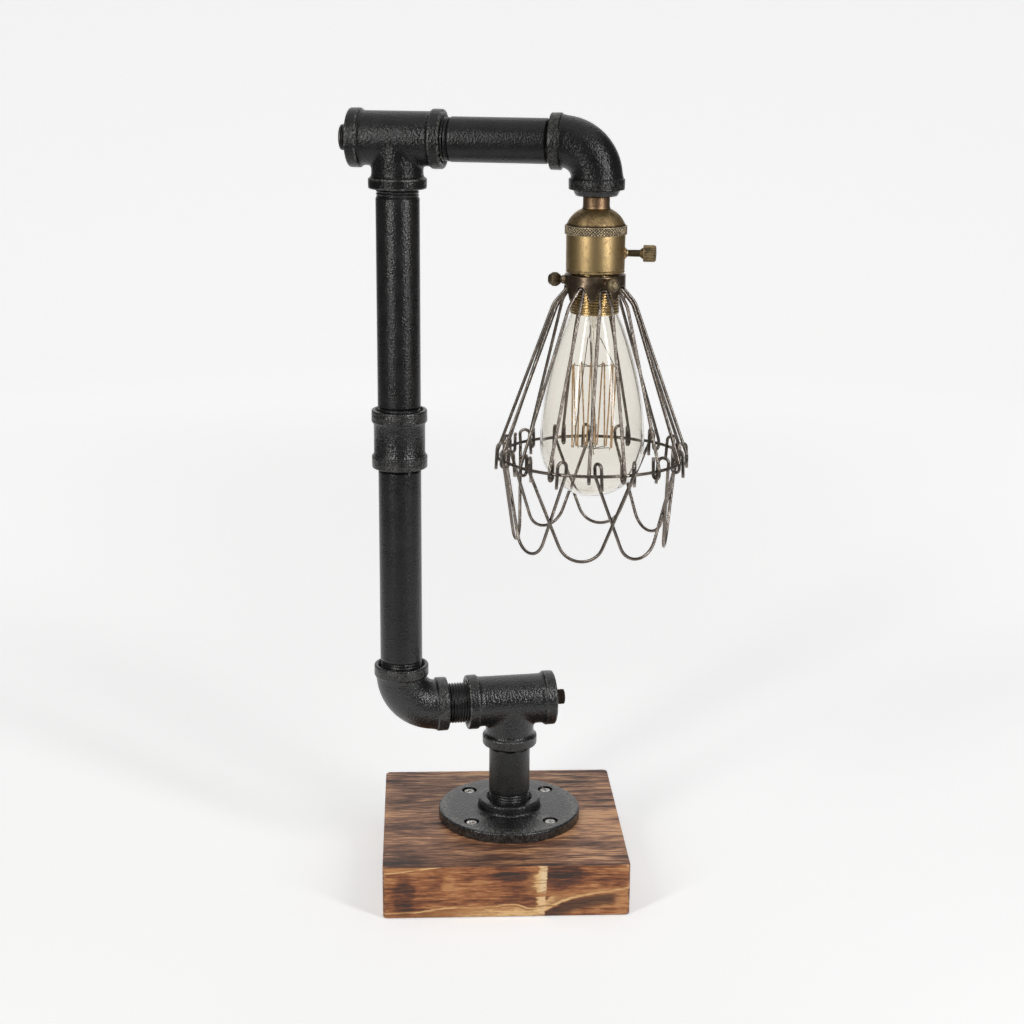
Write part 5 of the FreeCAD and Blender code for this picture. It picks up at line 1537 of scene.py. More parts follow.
def pipe_piece(name: str, place: Matrix, show: float, body: str, node: str, low: float, high: float) -> None:
    """Makes a pipe between two fittings, with a cut thread showing at both ends.

    Args:
        name: Name of the piece.
        place: Frame of its lower visible end, Z along the pipe.
        show: Length that shows.
        body: Body that it rides on.
        node: CAD node that it stands for.
        low: Length of thread at the start.
        high: Length of thread at the end.
    """
    inside, ease = 5.0, 1.0
    rise, fall, groove = low + ease, show - high - ease, THREAD_ROOT + 0.2
    profile: Profile = [(PIPE_BORE, -inside), *wall(THREAD_CREST, -inside, low, THREAD_STEP)]
    profile += rounded([(groove, low + 0.1), (PIPE_RADIUS, rise, 0.5), (PIPE_RADIUS, rise + 1.5)], 3)
    profile += wall(PIPE_RADIUS, low + 4.0, show - high - 4.0, 4.0)
    profile += rounded([(PIPE_RADIUS, fall - 1.5), (PIPE_RADIUS, fall, 0.5), (groove, show - high - 0.1)], 3)
    profile += [*wall(THREAD_CREST, show - high, show + inside, THREAD_STEP), (PIPE_BORE, show + inside)]
    first = thread(THREAD_ROOT, THREAD_CREST, THREAD_PITCH, -inside, low)
    last = thread(THREAD_ROOT, THREAD_CREST, THREAD_PITCH, show - high, show + inside)

    def rule(angles: np.ndarray, radius: float, height: float) -> Union[np.ndarray, float]:
        """Radius around a row of the pipe: a thread at both ends and plain between."""
        if radius <= PIPE_BORE or low < height < show - high:
            return radius
        return first(angles, radius, height) if height <= low else last(angles, radius, height)

    mesh = Build().lathe(profile, 112, rule).moved(place).mesh(name, 50.0)
    place_piece(mesh, SHADED_PAINTS.get(node, Finish.PIPE), body, node, 0.12)


@dataclass(frozen=True)
class Mouth:
    """End of a fitting: a rounded bead with a countersunk thread mouth.

    Attributes:
        bead: Outer radius of the bead.
        width: Width of the bead.
        body: Radius of the fitting behind the bead.
        turn: Rounding of the bead.
    """

    bead: float
    width: float
    body: float
    turn: float = 1.3

    def profile(self) -> Profile:
        """Half section from the thread inside to the body behind the bead.

        Returns:
            Radius and depth behind the mouth's face, in millimetres.
        """
        inside = [(13.3, 5.0), (13.4, 2.4), (14.9, 0.4, 0.3), (15.3, 0.0, 0.3)]
        bead = [(self.bead - 0.1, 0.0, self.turn), (self.bead, self.width - 0.2, self.turn)]
        behind = [(self.body + 0.5, self.width + 0.35, 0.8), (self.body, self.width + 2.2, 0.8)]
        return rounded([*inside, *bead, *behind], 6)

    def run(self, half: float) -> Profile:
        """Half section of a run that has this mouth at both ends, half its length from the middle."""
        ends = self.profile()
        return [(r, depth - half) for r, depth in ends] + [(r, half - depth) for r, depth in reversed(ends)]


@dataclass
class Fittings:
    """Tees, elbows, coupling and reducer of the pipework.

    Attributes:
        places: Frames of the lamp.
        half_run: Half of a tee's run.
        tee_reach: Reach of a tee's branch.
        corner_reach: Reach of the lower elbow.
        half_coupling: Half of the coupling's length.
        voxel: Edge of the voxels that blend a tee's branch into its run.
    """

    places: Places
    half_run: float = 28.8
    tee_reach: float = 29.8
    corner_reach: float = 29.3
    half_coupling: float = 18.3
    voxel: float = 0.5

    def tee(self, name: str, place: Matrix, body: str, node: str) -> None:
        """Makes a tee whose branch flows into its run, as in a casting.

        Args:
            name: Name of the piece.
            place: Frame of the tee's middle, X along the run and Z away from the branch.
            body: Body that it rides on.
            node: CAD node that it stands for.
        """
        run_radius, neck, inside, spread = 16.15, 15.7, 5.0, 2.6
        ends = Mouth(17.7, 7.0, run_radius).run(self.half_run)
        run = [(0.0, inside - self.half_run), *ends, (0.0, self.half_run - inside)]
        mouth = [(r, depth - self.tee_reach) for r, depth in Mouth(17.8, 6.6, neck).profile()]
        branch = [(0.0, inside - self.tee_reach), *mouth, (neck, -4.0), (0.0, -2.0)]
        mesh = Build().lathe(run, 144).moved(up_to_x()).lathe(branch, 144).mesh(name, 40.0)
        mesh = with_modifier(mesh, "REMESH", {"mode": "VOXEL", "voxel_size": self.voxel * MM})
        spots = values_of(mesh.vertices, "co") / MM
        off_run = np.hypot(spots[:, 1], spots[:, 2]) - run_radius
        off_neck = np.hypot(spots[:, 0], spots[:, 1]) - neck
        near = np.exp(-(off_run**2 + off_neck**2) / (2.0 * spread**2)) * (spots[:, 2] < 2.0)
        mesh = with_modifier(mesh, "SMOOTH", {"factor": 0.5, "iterations": 90}, near)
        mesh = with_modifier(mesh, "SMOOTH", {"factor": 0.5, "iterations": 3})
        mesh.transform(scaled(place))
        smooth(mesh, 80.0)
        place_piece(mesh, SHADED_PAINTS.get(node, Finish.CASTING), body, node, 0.035)

    def elbow(
        self, name: str, place: Matrix, body: str, node: str, reach: float, mouth: Mouth, bend: float
    ) -> None:
        """Makes an elbow from its +Z mouth to its +X mouth.

        Args:
            name: Name of the piece.
            place: Frame of its corner.
            body: Body that it rides on.
            node: CAD node that it stands for.
            reach: Corner to either mouth.
            mouth: Its mouths.
            bend: Bend radius of its middle line.
        """
        around, straight = 112, reach - bend
        length = 2.0 * straight + bend * math.pi / 2.0
        ends = [(radius, depth) for radius, depth in mouth.profile() if depth < straight + 6.0]
        deep = ends[-1][1] + 1.0
        stations = [*ends, *wall(mouth.body, deep, length - deep, 1.1)]
        stations += [(radius, length - depth) for radius, depth in reversed(ends)]
        _, cosines, sines = circle(around)
        across = np.array((0.0, 1.0, 0.0))
        rows = np.zeros((len(stations), around, 3))
        for index, (radius, along) in enumerate(stations):
            spot, way = self._bend_frame(along, straight, bend)
            rows[index] = spot + radius * (cosines[:, None] * across + sines[:, None] * np.cross(way, across))
        mesh = Build().grid(rows).moved(place).mesh(name, 60.0)
        place_piece(mesh, SHADED_PAINTS.get(node, Finish.CASTING), body, node, 0.12)

    @staticmethod
    def _bend_frame(along: float, straight: float, bend: float) -> tuple[np.ndarray, np.ndarray]:
        """Point and direction of an elbow's middle line.

        Args:
            along: Distance from the upper mouth.
            straight: Length of either straight leg.
            bend: Bend radius.

        Returns:
            The point and the direction.
        """
        turn = (along - straight) / bend
        angle = min(max(turn, 0.0), math.pi / 2.0)
        beyond = (turn - angle) * bend
        way = np.array((math.sin(angle), 0.0, -math.cos(angle)))
        spot = np.array((bend - bend * math.cos(angle), 0.0, bend - bend * math.sin(angle)))
        return spot + way * beyond, way

    def coupling(self) -> None:
        """Makes the column's coupling."""
        profile = Mouth(17.35, 7.6, 15.95).run(self.half_coupling)
        mesh = Build().lathe(profile, 128).moved(self.places.column).mesh("coupling", 60.0)
        place_piece(mesh, Finish.CASTING, "lower_arm", "column_coupling", 0.12)

    def close_nipple(self) -> None:
        """Makes the nipple that is threaded all over."""
        show, inside = 12.9, 5.0
        profile = wall(THREAD_CREST, -inside, show + inside, 0.2)
        rule = thread(THREAD_ROOT - 0.15, THREAD_CREST, THREAD_PITCH, -inside, show + inside)
        place = self.places.corner @ shifted(self.corner_reach) @ up_to_x()
        mesh = Build().lathe(profile, 128, rule).moved(place).mesh("threaded_nipple", 60.0)
        place_piece(mesh, Finish.THREAD, "lower_arm", "close_nipple", 0.12)

    def top_plug(self) -> None:
        """Makes the plug of the top tee with its threaded, round-ended stub."""
        stub, radius = 5.7, 7.8
        face = rounded([(13.2, -5.0), (13.2, -0.3, 0.4), (8.6, -0.3, 0.4), (7.4, 0.1)], 4)
        levels = wall(radius, 0.2, stub - 1.3, 0.2)
        crown = rounded([(radius - 0.1, stub - 1.2), (radius - 0.2, stub, 1.3), (0.0, stub)], 7)
        rule = thread(radius - 0.75, radius, THREAD_PITCH, 0.15, stub - 1.25, 0.4)
        place = self.places.upper @ shifted(-self.half_run) @ up_to_x(-1.0)
        mesh = Build().lathe([*face, *levels, *crown], 112, rule).moved(place).mesh("column_plug", 50.0)
        place_piece(mesh, Finish.THREAD, "upper_arm", "top_tee_plug", 0.12)

    def outlet(self) -> None:
        """Makes the threaded outlet tube and its washer."""
        place = self.places.lower @ shifted(self.half_run) @ up_to_x()
        washer = rounded([(5.1, 0.05), (8.2, 0.05, 0.2), (8.2, 1.2, 0.3), (5.1, 1.2)], 4, True)
        mesh = Build().lathe(washer, 96, loop=True).moved(place).mesh("outlet_ring", 40.0)
        place_piece(mesh, Finish.RUSTY, "lower_arm", "outlet_washer", 0.05)
        tube = [(3.3, -2.0), (5.0, -2.0), *wall(5.0, 0.0, 6.9, 0.14), (4.5, 7.2), (3.9, 7.2), (3.3, 6.8)]
        rule = thread(4.6, 5.0, 1.0, 1.2, 6.9, 0.3)
        mesh = Build().lathe(tube, 80, rule, True).moved(place).mesh("outlet_thread", 50.0)
        place_piece(mesh, Finish.RUSTY, "lower_arm", "outlet_tube", 0.06)

    def reducer(self) -> None:
        """Makes the reducer that closes the arm elbow's lower mouth."""
        rim = -REDUCER_SHOWS
        corners = [(5.1, 4.0), (5.1, rim), (12.2, rim, 0.8), (12.9, -2.6, 0.8), (14.0, -0.2, 0.6)]
        profile = rounded([*corners, (13.3, 0.6), (13.2, 4.0)], 5, True)
        place = self.places.head @ lift(-HEAD_REACH)
        mesh = Build().lathe(profile, 112, loop=True).moved(place).mesh("reducer", 50.0)
        place_piece(mesh, Finish.CASTING, "head", "reducer_bushing", 0.10)

    def make(self) -> None:
        """Makes every fitting and pipe above the riser."""
        places, reach = self.places, self.corner_reach
        self.tee("base_tee_casting", places.lower, "lower_arm", "base_tee")
        self.tee("top_tee_casting", places.upper, "upper_arm", "top_tee")
        mouth = Mouth(17.4, 7.0, 16.0)
        self.elbow("lower_elbow_casting", places.corner, "lower_arm", "lower_elbow", reach, mouth, 22.2)
        flipped, mouth = places.head @ Matrix.Rotation(math.pi, 4, "Y"), Mouth(16.7, 6.4, 15.3, 1.1)
        self.elbow("arm_elbow_casting", flipped, "head", "arm_elbow", HEAD_REACH, mouth, 20.8)
        self.coupling()
        self.close_nipple()
        self.top_plug()
        self.outlet()
        self.reducer()
        low, high = places.corner @ lift(reach), places.column @ lift(self.half_coupling)
        pipe_piece("lower_column", low, 129.6, "lower_arm", "lower_column_pipe", 2.6, 1.4)
        pipe_piece("upper_column", high, 135.0, "upper_arm", "upper_column_pipe", 1.4, 4.6)
        arm = places.upper @ shifted(self.half_run) @ up_to_x()
        pipe_piece("arm_tube", arm, 64.6, "upper_arm", "arm_pipe", 3.6, 1.4)


# ---------- lampholder


@dataclass
class Lampholder:
    """Brass cap, knurled ring, shell, sleeve and key.

    Attributes:
        places: Frames of the lamp.
        knurls: Ridges around the ring.
        cap: Frame of the cap's foot.
        shell: Frame of the shell's foot.
    """

    places: Places
    knurls: int = 60
    cap: Matrix = field(init=False)
    shell: Matrix = field(init=False)

    def __post_init__(self) -> None:
        """Finds the feet of the cap and of the shell."""
        self.cap = self.places.head @ lift(-CAP_FOOT)
        self.shell = self.places.head @ lift(-SHELL_FOOT)

    def domed_cap(self) -> None:
        """Makes the cap: neck with a small bead and a round dome."""
        neck = [(8.35, 9.9), (7.95, 10.9, 0.5), (7.95, 16.2, 0.35), (7.3, 16.9), (5.1, 16.9), (5.1, 12.0)]
        profile: Profile = [(16.6, 0.0), (17.2, 0.0), (17.4, 0.35)]
        profile += [*arc((2.35, -5.55), 16.1, 21.0, 69.0, 20), *rounded(neck, 5)]
        mesh = Build().lathe(profile, 128).moved(self.cap).mesh("lampholder_cap", 50.0)
        place_piece(mesh, Finish.BRASS, "head", "socket_cap", 0.06)

    def knurled_ring(self) -> None:
        """Makes the ring with crossed knurling between two plain lips."""
        tall, inner, outer, lip_tall = 5.2, 17.8, 18.62, 0.42
        profile = [(inner, 0.0), *wall(outer, 0.0, tall, 0.13), (inner, tall)]

        def rule(angles: np.ndarray, radius: float, height: float) -> Union[np.ndarray, float]:
            """Radius around a row of the ring.

            Args:
                angles: Angles around the row.
                radius: Radius of the profile there.
                height: Height of the row.

            Returns:
                The radius at each angle.
            """
            if radius < outer:
                return radius
            lip = min(height, tall - height)
            if lip < lip_tall:
                return outer - 0.28 * (1.0 - math.sqrt(max(lip / lip_tall, 0.0)))
            slant = height * 1.75
            first = np.abs(np.sin(0.5 * self.knurls * angles + slant))
            second = np.abs(np.sin(0.5 * self.knurls * angles - slant))
            return outer - 0.62 + 0.58 * np.minimum(first, second)

        place = self.cap @ lift(-CAP_GAP - tall)
        mesh = Build().lathe(profile, 672, rule, True).moved(place).mesh("knurled_ring", 60.0)
        place_piece(mesh, Finish.KNURL, "head", "socket_ring", 0.05)

    def outer_shell(self) -> None:
        """Makes the shell with its rolled foot and the key's bushing."""
        foot = [(15.1, 0.7), (15.1, 0.0, 0.2), (17.35, 0.0, 0.4), (17.68, 0.55, 0.3), (17.25, 1.15, 0.3)]
        side = [(17.5, 2.0, 0.5), (17.6, 24.3, 0.3), (17.0, 24.5), (16.8, 27.3), (16.8, 1.0)]
        build = Build().lathe(rounded([*foot, *side], 4, True), 144, loop=True).moved(self.shell)
        bush = rounded([(2.3, 16.9), (3.3, 16.9), (3.3, 18.1, 0.3), (2.6, 18.3), (2.3, 17.9)], 4, True)
        build.join(Build().lathe(bush, 48, loop=True).moved(self.places.key @ up_to_x()))
        mesh = build.mesh("lampholder_shell", 45.0)
        place_piece(mesh, Finish.BRASS, "head", "socket_shell", 0.06)

    def sleeve(self) -> None:
        """Makes the threaded sleeve inside the cage's collar."""
        drop, inner, crest, bevel = 24.6, 14.1, 14.95, 0.3
        profile = [(inner, 0.0), (14.5, 0.0), *wall(crest, bevel, drop, 0.2)]
        profile += [(crest, drop + 0.4), (inner, drop + 0.4)]
        rule = thread(14.35, crest, 1.7, bevel, drop, 0.3)
        place = self.shell @ lift(-drop)
        mesh = Build().lathe(profile, 128, rule, True).moved(place).mesh("thread_sleeve", 60.0)
        place_piece(mesh, Finish.SLEEVE, "head", "threaded_sleeve", 0.10)

    def key(self) -> None:
        """Makes the turn key with its fluted, domed knob."""
        start, knob, tip, outer = 6.6, 28.4, 36.2, 5.0
        shaft = [(0.0, start), (2.2, start), (2.2, 17.0), (2.35, 18.6, 0.2), (2.0, 19.4, 0.2)]
        swell = [(2.1, 26.4, 0.2), (2.9, 27.3, 0.3), (3.4, 28.2, 0.2), (4.9, knob, 0.3), (outer, knob + 0.6)]
        profile = [*rounded([*shaft, *swell], 4), *wall(outer, knob + 0.7, tip - 1.7, 0.4)]
        profile += rounded([(outer, tip - 1.6), (4.5, tip - 0.3, 1.2), (0.0, tip)], 6)
        rule = flutes(0.42, 9.0, 3, knob + 0.3, tip - 0.8)
        mesh = Build().lathe(profile, 216, rule).moved(self.places.key @ up_to_x()).mesh("turn_key", 40.0)
        place_piece(mesh, Finish.KNOB, "key", "switch_key", 0.08)

    def make(self) -> None:
        """Makes every visible piece of the lampholder."""
        self.domed_cap()
        self.knurled_ring()
        self.outer_shell()
        self.sleeve()
        self.key()


# ---------- cage


def bearing(radius: float, angle: float, height: float) -> np.ndarray:
    """Point at a distance from the Z axis, on a bearing in degrees."""
    turn = math.radians(angle)
    return np.array((radius * math.cos(turn), radius * math.sin(turn), height))


ARC_STEP = 9.0
WIRE_SIDES = 14
WIRE_DOME = 0.5
WIRE_WEAR = 0.3
PETAL_SPREAD = math.radians(33.75)


def bent(corners: Sequence[np.ndarray], bends: Sequence[float], straight_step: float = 6.0) -> np.ndarray:
    """Middle line of a bent wire: straight runs joined by tangent arcs.

    Args:
        corners: Ends and corners of the line.
        bends: Bend radius at each inner corner.
        straight_step: Largest step along a straight run.

    Returns:
        Points along the line.
    """
    line = [corners[0]]
    for before, corner, after, bend in zip(corners, corners[1:], corners[2:], bends):
        back, on = unit(before - corner), unit(after - corner)
        turn = math.pi - math.acos(float(np.clip(back @ on, -1.0, 1.0)))
        cut = bend * math.tan(turn / 2.0)
        centre = corner + unit(back + on) * (bend / math.cos(turn / 2.0))
        start = corner + back * cut - centre
        steps = max(int(math.ceil(turn / math.radians(ARC_STEP))), 2)
        level = unit(np.cross(start, corner + on * cut - centre))
        for step in range(steps + 1):
            angle = turn * step / steps
            line.append(centre + start * math.cos(angle) + np.cross(level, start) * math.sin(angle))
    line.append(corners[-1])
    points = [line[0]]
    for spot in line[1:]:
        gap = np.linalg.norm(spot - points[-1])
        if gap < 1e-4:
            continue
        parts = max(int(math.ceil(gap / straight_step)), 1)
        start = points[-1]
        points += [start + (spot - start) * part / parts for part in range(1, parts + 1)]
    return np.array(points)


@dataclass
class Cage:
    """Collar, thumb screws, ribs, ring and petals of the wire cage.

    Attributes:
        places: Frames of the lamp.
        wire: Radius of the wire.
        drop: Depth of the ring below the collar's top.
        ring: Radius of the ring.
        twist: How far the ribs' feet lag behind their slits, in degrees.
        foot_spread: Half of the angle between a rib's feet, in degrees.
        cage_bearing: Bearing of the first slit from the arm.
        thumb_bearing: Bearing of the first thumb screw from the arm.
        petal_bearing: Bearing of the first petal from the arm.
        count: Number of ribs and of petals.
        top: Frame of the collar's top.
        pitch: Angle from one rib to the next, in degrees.
    """

    places: Places
    wire: float = 1.0
    drop: float = 111.2
    ring: float = 55.5
    twist: float = 8.5
    foot_spread: float = 10.6
    cage_bearing: float = 25.8
    thumb_bearing: float = 63.2
    petal_bearing: float = 1.15
    count: int = 8
    top: Matrix = field(init=False)
    pitch: float = field(init=False)

    def __post_init__(self) -> None:
        """Finds the collar's top, a little below the shell, and the ribs' pitch."""
        self.top = self.places.head @ lift(-SHELL_FOOT - 1.2)
        self.pitch = 360.0 / self.count

    def collar(self) -> None:
        """Makes the collar: a lipped band whose lower edge is cut into fingers, and its bosses."""
        outer, inner, lip, foot, band = 18.3, 17.5, 15.3, -14.9, -2.0
        radius, apex, tangent = 3.3, -6.1, math.radians(20.0)
        around, half = 640, self.pitch / 2.0
        angles, cosines, sines = circle(around)
        local = (np.degrees(angles) - self.cage_bearing + half) % self.pitch - half
        away = np.abs(np.radians(local)) * outer
        shoulder = radius * math.cos(tangent)
        shoulder_low = apex - radius * (1.0 - math.sin(tangent))
        reach = math.radians(half) * outer - 1.1
        crown = apex - radius + np.sqrt(np.maximum(radius**2 - away**2, 0.0))
        slope = np.clip((away - shoulder) / (reach - shoulder), 0.0, 1.0)
        lower = np.where(away < shoulder, crown, shoulder_low + (foot - shoulder_low) * slope)
        rows = list(rounded([(lip, -1.4), (lip, 0.0, 0.3), (outer - 0.05, 0.0, 0.8), (outer, band)], 6))
        for share in np.linspace(0.0, 1.0, 14)[1:]:
            flare = 0.25 * share**2 - (0.12 if share == 1.0 else 0.0)
            rows.append((outer + flare, band + (lower - band) * share))
        rows.append((inner + 0.3, lower))
        rows += [(inner, band + (lower - band) * share) for share in np.linspace(1.0, 0.0, 8)[1:]]
        points = np.zeros((len(rows) + 1, around, 3))
        for index, (wide, levels) in enumerate([*rows, (inner, -1.4)]):
            points[index, :, 0], points[index, :, 1] = wide * cosines, wide * sines
            points[index, :, 2] = levels
        build = Build().grid(points, True)
        boss = rounded([(1.6, 17.6), (2.7, 17.6), (2.7, 19.8, 0.5), (1.6, 19.9)], 4, True)
        for index in range(3):
            build.join(Build().lathe(boss, 48, loop=True).moved(self._thumb(index)))
        mesh = build.moved(self.top).mesh("finger_collar", 40.0)
        place_piece(mesh, Finish.COLLAR, "head", "cage_collar", 0.08)

    def _thumb(self, index: int) -> Matrix:
        """Frame of a thumb screw about the collar's top, Z pointing outward."""
        return turned(self.thumb_bearing + 120.0 * index) @ lift(-3.9) @ up_to_x()

    def thumb_screws(self) -> None:
        """Makes the knurled thumb screws."""
        knob, tip = 20.6, 28.2
        shaft = [(0.0, 15.0), (1.5, 15.0), (1.5, 19.7), (2.2, 19.9, 0.2), (2.1, 20.5, 0.2)]
        ball = [(2.7, knob + 0.1, 0.7), (4.2, knob + 2.2, 1.9), (4.2, tip - 2.8, 2.0), (2.3, tip - 0.1, 1.6)]
        profile = rounded([*shaft, *ball, (0.0, tip)], 6)
        rule = flutes(0.16, 11.0, 2, knob, tip, 3.2)
        for index in range(3):
            place, number = self.top @ self._thumb(index), index + 1
            mesh = Build().lathe(profile, 132, rule).moved(place).mesh(f"thumb_knob_{number}", 45.0)
            body, node = f"thumb_{number}", f"thumb_screw_{number}"
            place_piece(mesh, Finish.DARK_KNOB, body, node, WIRE_WEAR)

    def _rib_leg(self, side: int, sway: float) -> tuple[list[np.ndarray], list[float]]:
        """Corners and bends of one leg of a hairpin.

        Args:
            side: -1 or 1.
            sway: Small difference of this rib's foot, in degrees.

        Returns:
            The corners from its top to its tail, and the bends between them.
        """
        top_bearing = side * math.degrees(math.asin(1.7 / 16.3))
        foot = -self.twist + side * self.foot_spread
        knee = -self.twist * 17.4 / self.drop + side * 9.0
        inner, outer = self.ring - 2.3, self.ring + 2.3
        low = -self.drop - 4.2
        corners = [
            bearing(16.3, top_bearing, -7.6),
            bearing(24.5, knee, -17.4),
            bearing(outer, foot, -self.drop + 1.6),
            bearing(outer, foot, low),
            bearing(inner, foot + 0.2 * sway, low),
            bearing(inner, foot + 0.6 * sway, -self.drop + 8.5),
        ]
        return corners, [14.0, 5.0, 2.3, 2.3]

    def ribs(self) -> None:
        """Makes the hairpin ribs."""
        for index in range(self.count):
            sway = math.sin(index * 2.4 + 0.7)
            left, left_bends = self._rib_leg(-1, sway)
            right, right_bends = self._rib_leg(1, -sway)
            path = bent(left[::-1] + right, left_bends[::-1] + [1.7, 1.7] + right_bends)
            place = self.top @ turned(self.cage_bearing + self.pitch * index)
            self._wire_piece(path, place, f"rib_{index + 1}", "head", f"cage_rib_{index + 1}")

    def _wire_piece(self, path: np.ndarray, place: Matrix, name: str, body: str, node: str) -> None:
        """Makes a piece of round wire along a path in a frame."""
        mesh = Build().wire(path, self.wire, WIRE_SIDES, WIRE_DOME).moved(place).mesh(name, 60.0)
        place_piece(mesh, Finish.WIRE, body, node, WIRE_WEAR)

    def ring_wire(self) -> None:
        """Makes the ring."""
        path = np.array([bearing(self.ring, angle, -self.drop) for angle in np.arange(0.0, 360.0, 2.5)])
        build = Build().sweep(path, np.full(len(path), self.wire), WIRE_SIDES, True).moved(self.top)
        mesh = build.mesh("ring_wire", 60.0)
        place_piece(mesh, Finish.WIRE, "head", "cage_ring", WIRE_WEAR)

    def _petal_path(self, outside: bool) -> np.ndarray:
        """Middle line of a petal about its hinge line.

        Args:
            outside: Whether its legs hang outside the ring.

        Returns:
            Points along the wire.
        """
        side = 1.0 if outside else -1.0
        half, round_end, drop, rise, tail = 3.15, 14.0, 54.5, 7.6, 8.5
        width = self.ring * math.sin(PETAL_SPREAD)
        straight = drop - round_end
        slope = math.atan2(width, straight) - math.asin(round_end / math.hypot(width, straight))
        near, far = -side * half, side * half
        leg = np.array([(near, width, -tail), (near, width, rise), (far, width, rise), (far, width, 0.0)])
        lowest = np.array((far, 0.0, -width / math.tan(slope)))
        corners = [*leg, lowest, *(leg * (1.0, -1.0, 1.0))[::-1]]
        return bent(corners, [half, half, 8.0, round_end, 8.0, half, half])

    def petals(self) -> None:
        """Makes the hanging petals."""
        middle = self.ring * math.cos(PETAL_SPREAD)
        for index in range(self.count):
            outside = index % 2 == 0
            lean = math.radians(3.7 if outside else -3.7)
            place = self.top @ lift(-self.drop) @ turned(self.petal_bearing + self.pitch * index)
            place = place @ shifted(middle) @ Matrix.Rotation(lean, 4, "Y")
            path, number = self._petal_path(outside), index + 1
            self._wire_piece(path, place, f"petal_wire_{number}", f"petal_{number}_body", f"petal_{number}")

    def make(self) -> None:
        """Makes every piece of the cage."""
        self.collar()
        self.thumb_screws()
        self.ribs()
        self.ring_wire()
        self.petals()


# ---------- bulb


@dataclass
class Bulb:
    """Glass, stem, filament and its supports.

    Attributes:
        places: Frames of the lamp.
        radius: Largest radius of the glass.
        length: Length below the contact.
        strand: Radius of the filament.
        turn: Half of the filament's width at a hook.
        hooks: Number of hooks that carry the filament.
        top: Frame of the contact.
    """

    places: Places
    radius: float = 31.7
    length: float = 142.0
    strand: float = 0.5
    turn: float = 0.7
    hooks: int = 12
    top: Matrix = field(init=False)

    def __post_init__(self) -> None:
        """Finds the contact, a little above the shell's foot."""
        self.top = self.places.head @ lift(4.8 - SHELL_FOOT)

    def glass(self) -> None:
        """Makes the glass as a thin shell."""
        neck, neck_low, wall = 13.3, -28.2, 0.8
        equator = -self.length + self.radius
        narrow, rise = self.radius - neck, neck_low - equator
        flank = (rise**2 + narrow**2) / (2.0 * narrow)
        reach = math.degrees(math.asin(rise / flank))
        outer = arc((0.0, equator), self.radius, -90.0, 0.0, 44)
        outer += arc((self.radius - flank, equator), flank, 0.0, reach, 60)[1:]
        outer += [(12.4, -26.2), (12.4, -23.0)]
        inner = [(11.6, -23.0), (11.6, -26.2)]
        inner += arc((self.radius - flank, equator), flank - wall, reach, 0.0, 60)
        inner += arc((0.0, equator), self.radius - wall, 0.0, -90.0, 44)[1:]
        mesh = Build().lathe(outer + inner, 144).moved(self.top).mesh("glass_envelope", 60.0)
        place_piece(mesh, Finish.GLASS, "bulb", "bulb_glass", 0.5)

    def stem(self) -> None:
        """Makes the hollow glass stem with its flare, pinch and rod."""
        flare = [(11.2, -25.0), (6.5, -29.0, 4.0), (2.8, -36.5, 5.0)]
        pinch = [(2.6, -41.0, 2.0), (3.3, -44.5, 1.5), (1.2, -48.2, 2.0)]
        knob = rounded([(1.3, -115.5), (1.6, -116.3, 0.4), (1.0, -117.0, 0.4), (0.0, -117.0)], 4)
        outer = [*rounded([*flare, *pinch], 7), (1.1, -52.0), (1.1, -115.0), *knob]
        inner = [(0.0, -40.0), (1.8, -38.0, 1.0), (2.1, -36.5, 4.0), (5.8, -29.0, 4.0), (10.5, -25.0)]
        build = Build().lathe(outer, 64).lathe(rounded(inner, 6), 64)
        mesh = build.moved(self.top).mesh("glass_stem", 50.0)
        place_piece(mesh, Finish.GLASS, "bulb", "bulb_stem", 0.3)

    def _hooks(self) -> list[np.ndarray]:
        """Places of the hooks that carry the filament, the upper and the lower ones in turn."""
        ends = ((13.8, -62.5), (12.4, -113.0)) * (self.hooks // 2)
        return [bearing(radius, 12.0 + 15.0 * index, height) for index, (radius, height) in enumerate(ends)]

    def filament(self) -> None:
        """Makes the filament as a fine wire laid along its zigzag."""
        hooks = self._hooks()
        corners = [hooks[0]]
        for before, hook, after in zip(hooks, hooks[1:], hooks[2:]):
            aside = unit(after - before) * self.turn
            corners += [hook - aside, hook + aside]
        corners.append(hooks[-1])
        path = bent(corners, [self.turn * 0.9] * (len(corners) - 2), 1.5)
        mesh = Build().wire(path, self.strand, 10, WIRE_DOME).moved(self.top).mesh("filament_wire", 70.0)
        place_piece(mesh, Finish.FILAMENT, "bulb", "bulb_filament", 0.2)

    def supports(self) -> None:
        """Makes the support spokes with their hooked ends and the two feed wires."""
        build = Build()
        hooks = self._hooks()
        for index, hook in enumerate(hooks):
            flat = np.array((hook[0], hook[1], 0.0))
            reach = np.linalg.norm(flat)
            way = flat / reach
            foot = np.array((0.0, 0.0, hook[2]))
            if index in (0, len(hooks) - 1):
                foot = way * 3.7 + np.array((0.0, 0.0, -44.5))
                end = way * (reach - 0.8) + np.array((0.0, 0.0, hook[2]))
                build.wire(np.array([foot, (foot + end) / 2.0, end]), 0.28, 8)
                continue
            rise = 1.6 if index % 2 == 0 else -1.6
            corner = foot + way * (reach - 1.0)
            build.wire(bent([foot + way * 1.2, corner, corner + (0.0, 0.0, rise)], [0.5]), 0.26, 8)
        mesh = build.moved(self.top).mesh("filament_spokes", 60.0)
        place_piece(mesh, Finish.SUPPORT, "bulb", "bulb_supports", 0.2)

    def make(self) -> None:
        """Makes every visible piece of the bulb."""
        self.glass()
        self.stem()
        self.filament()
        self.supports()


# ---------- carried nodes, studio


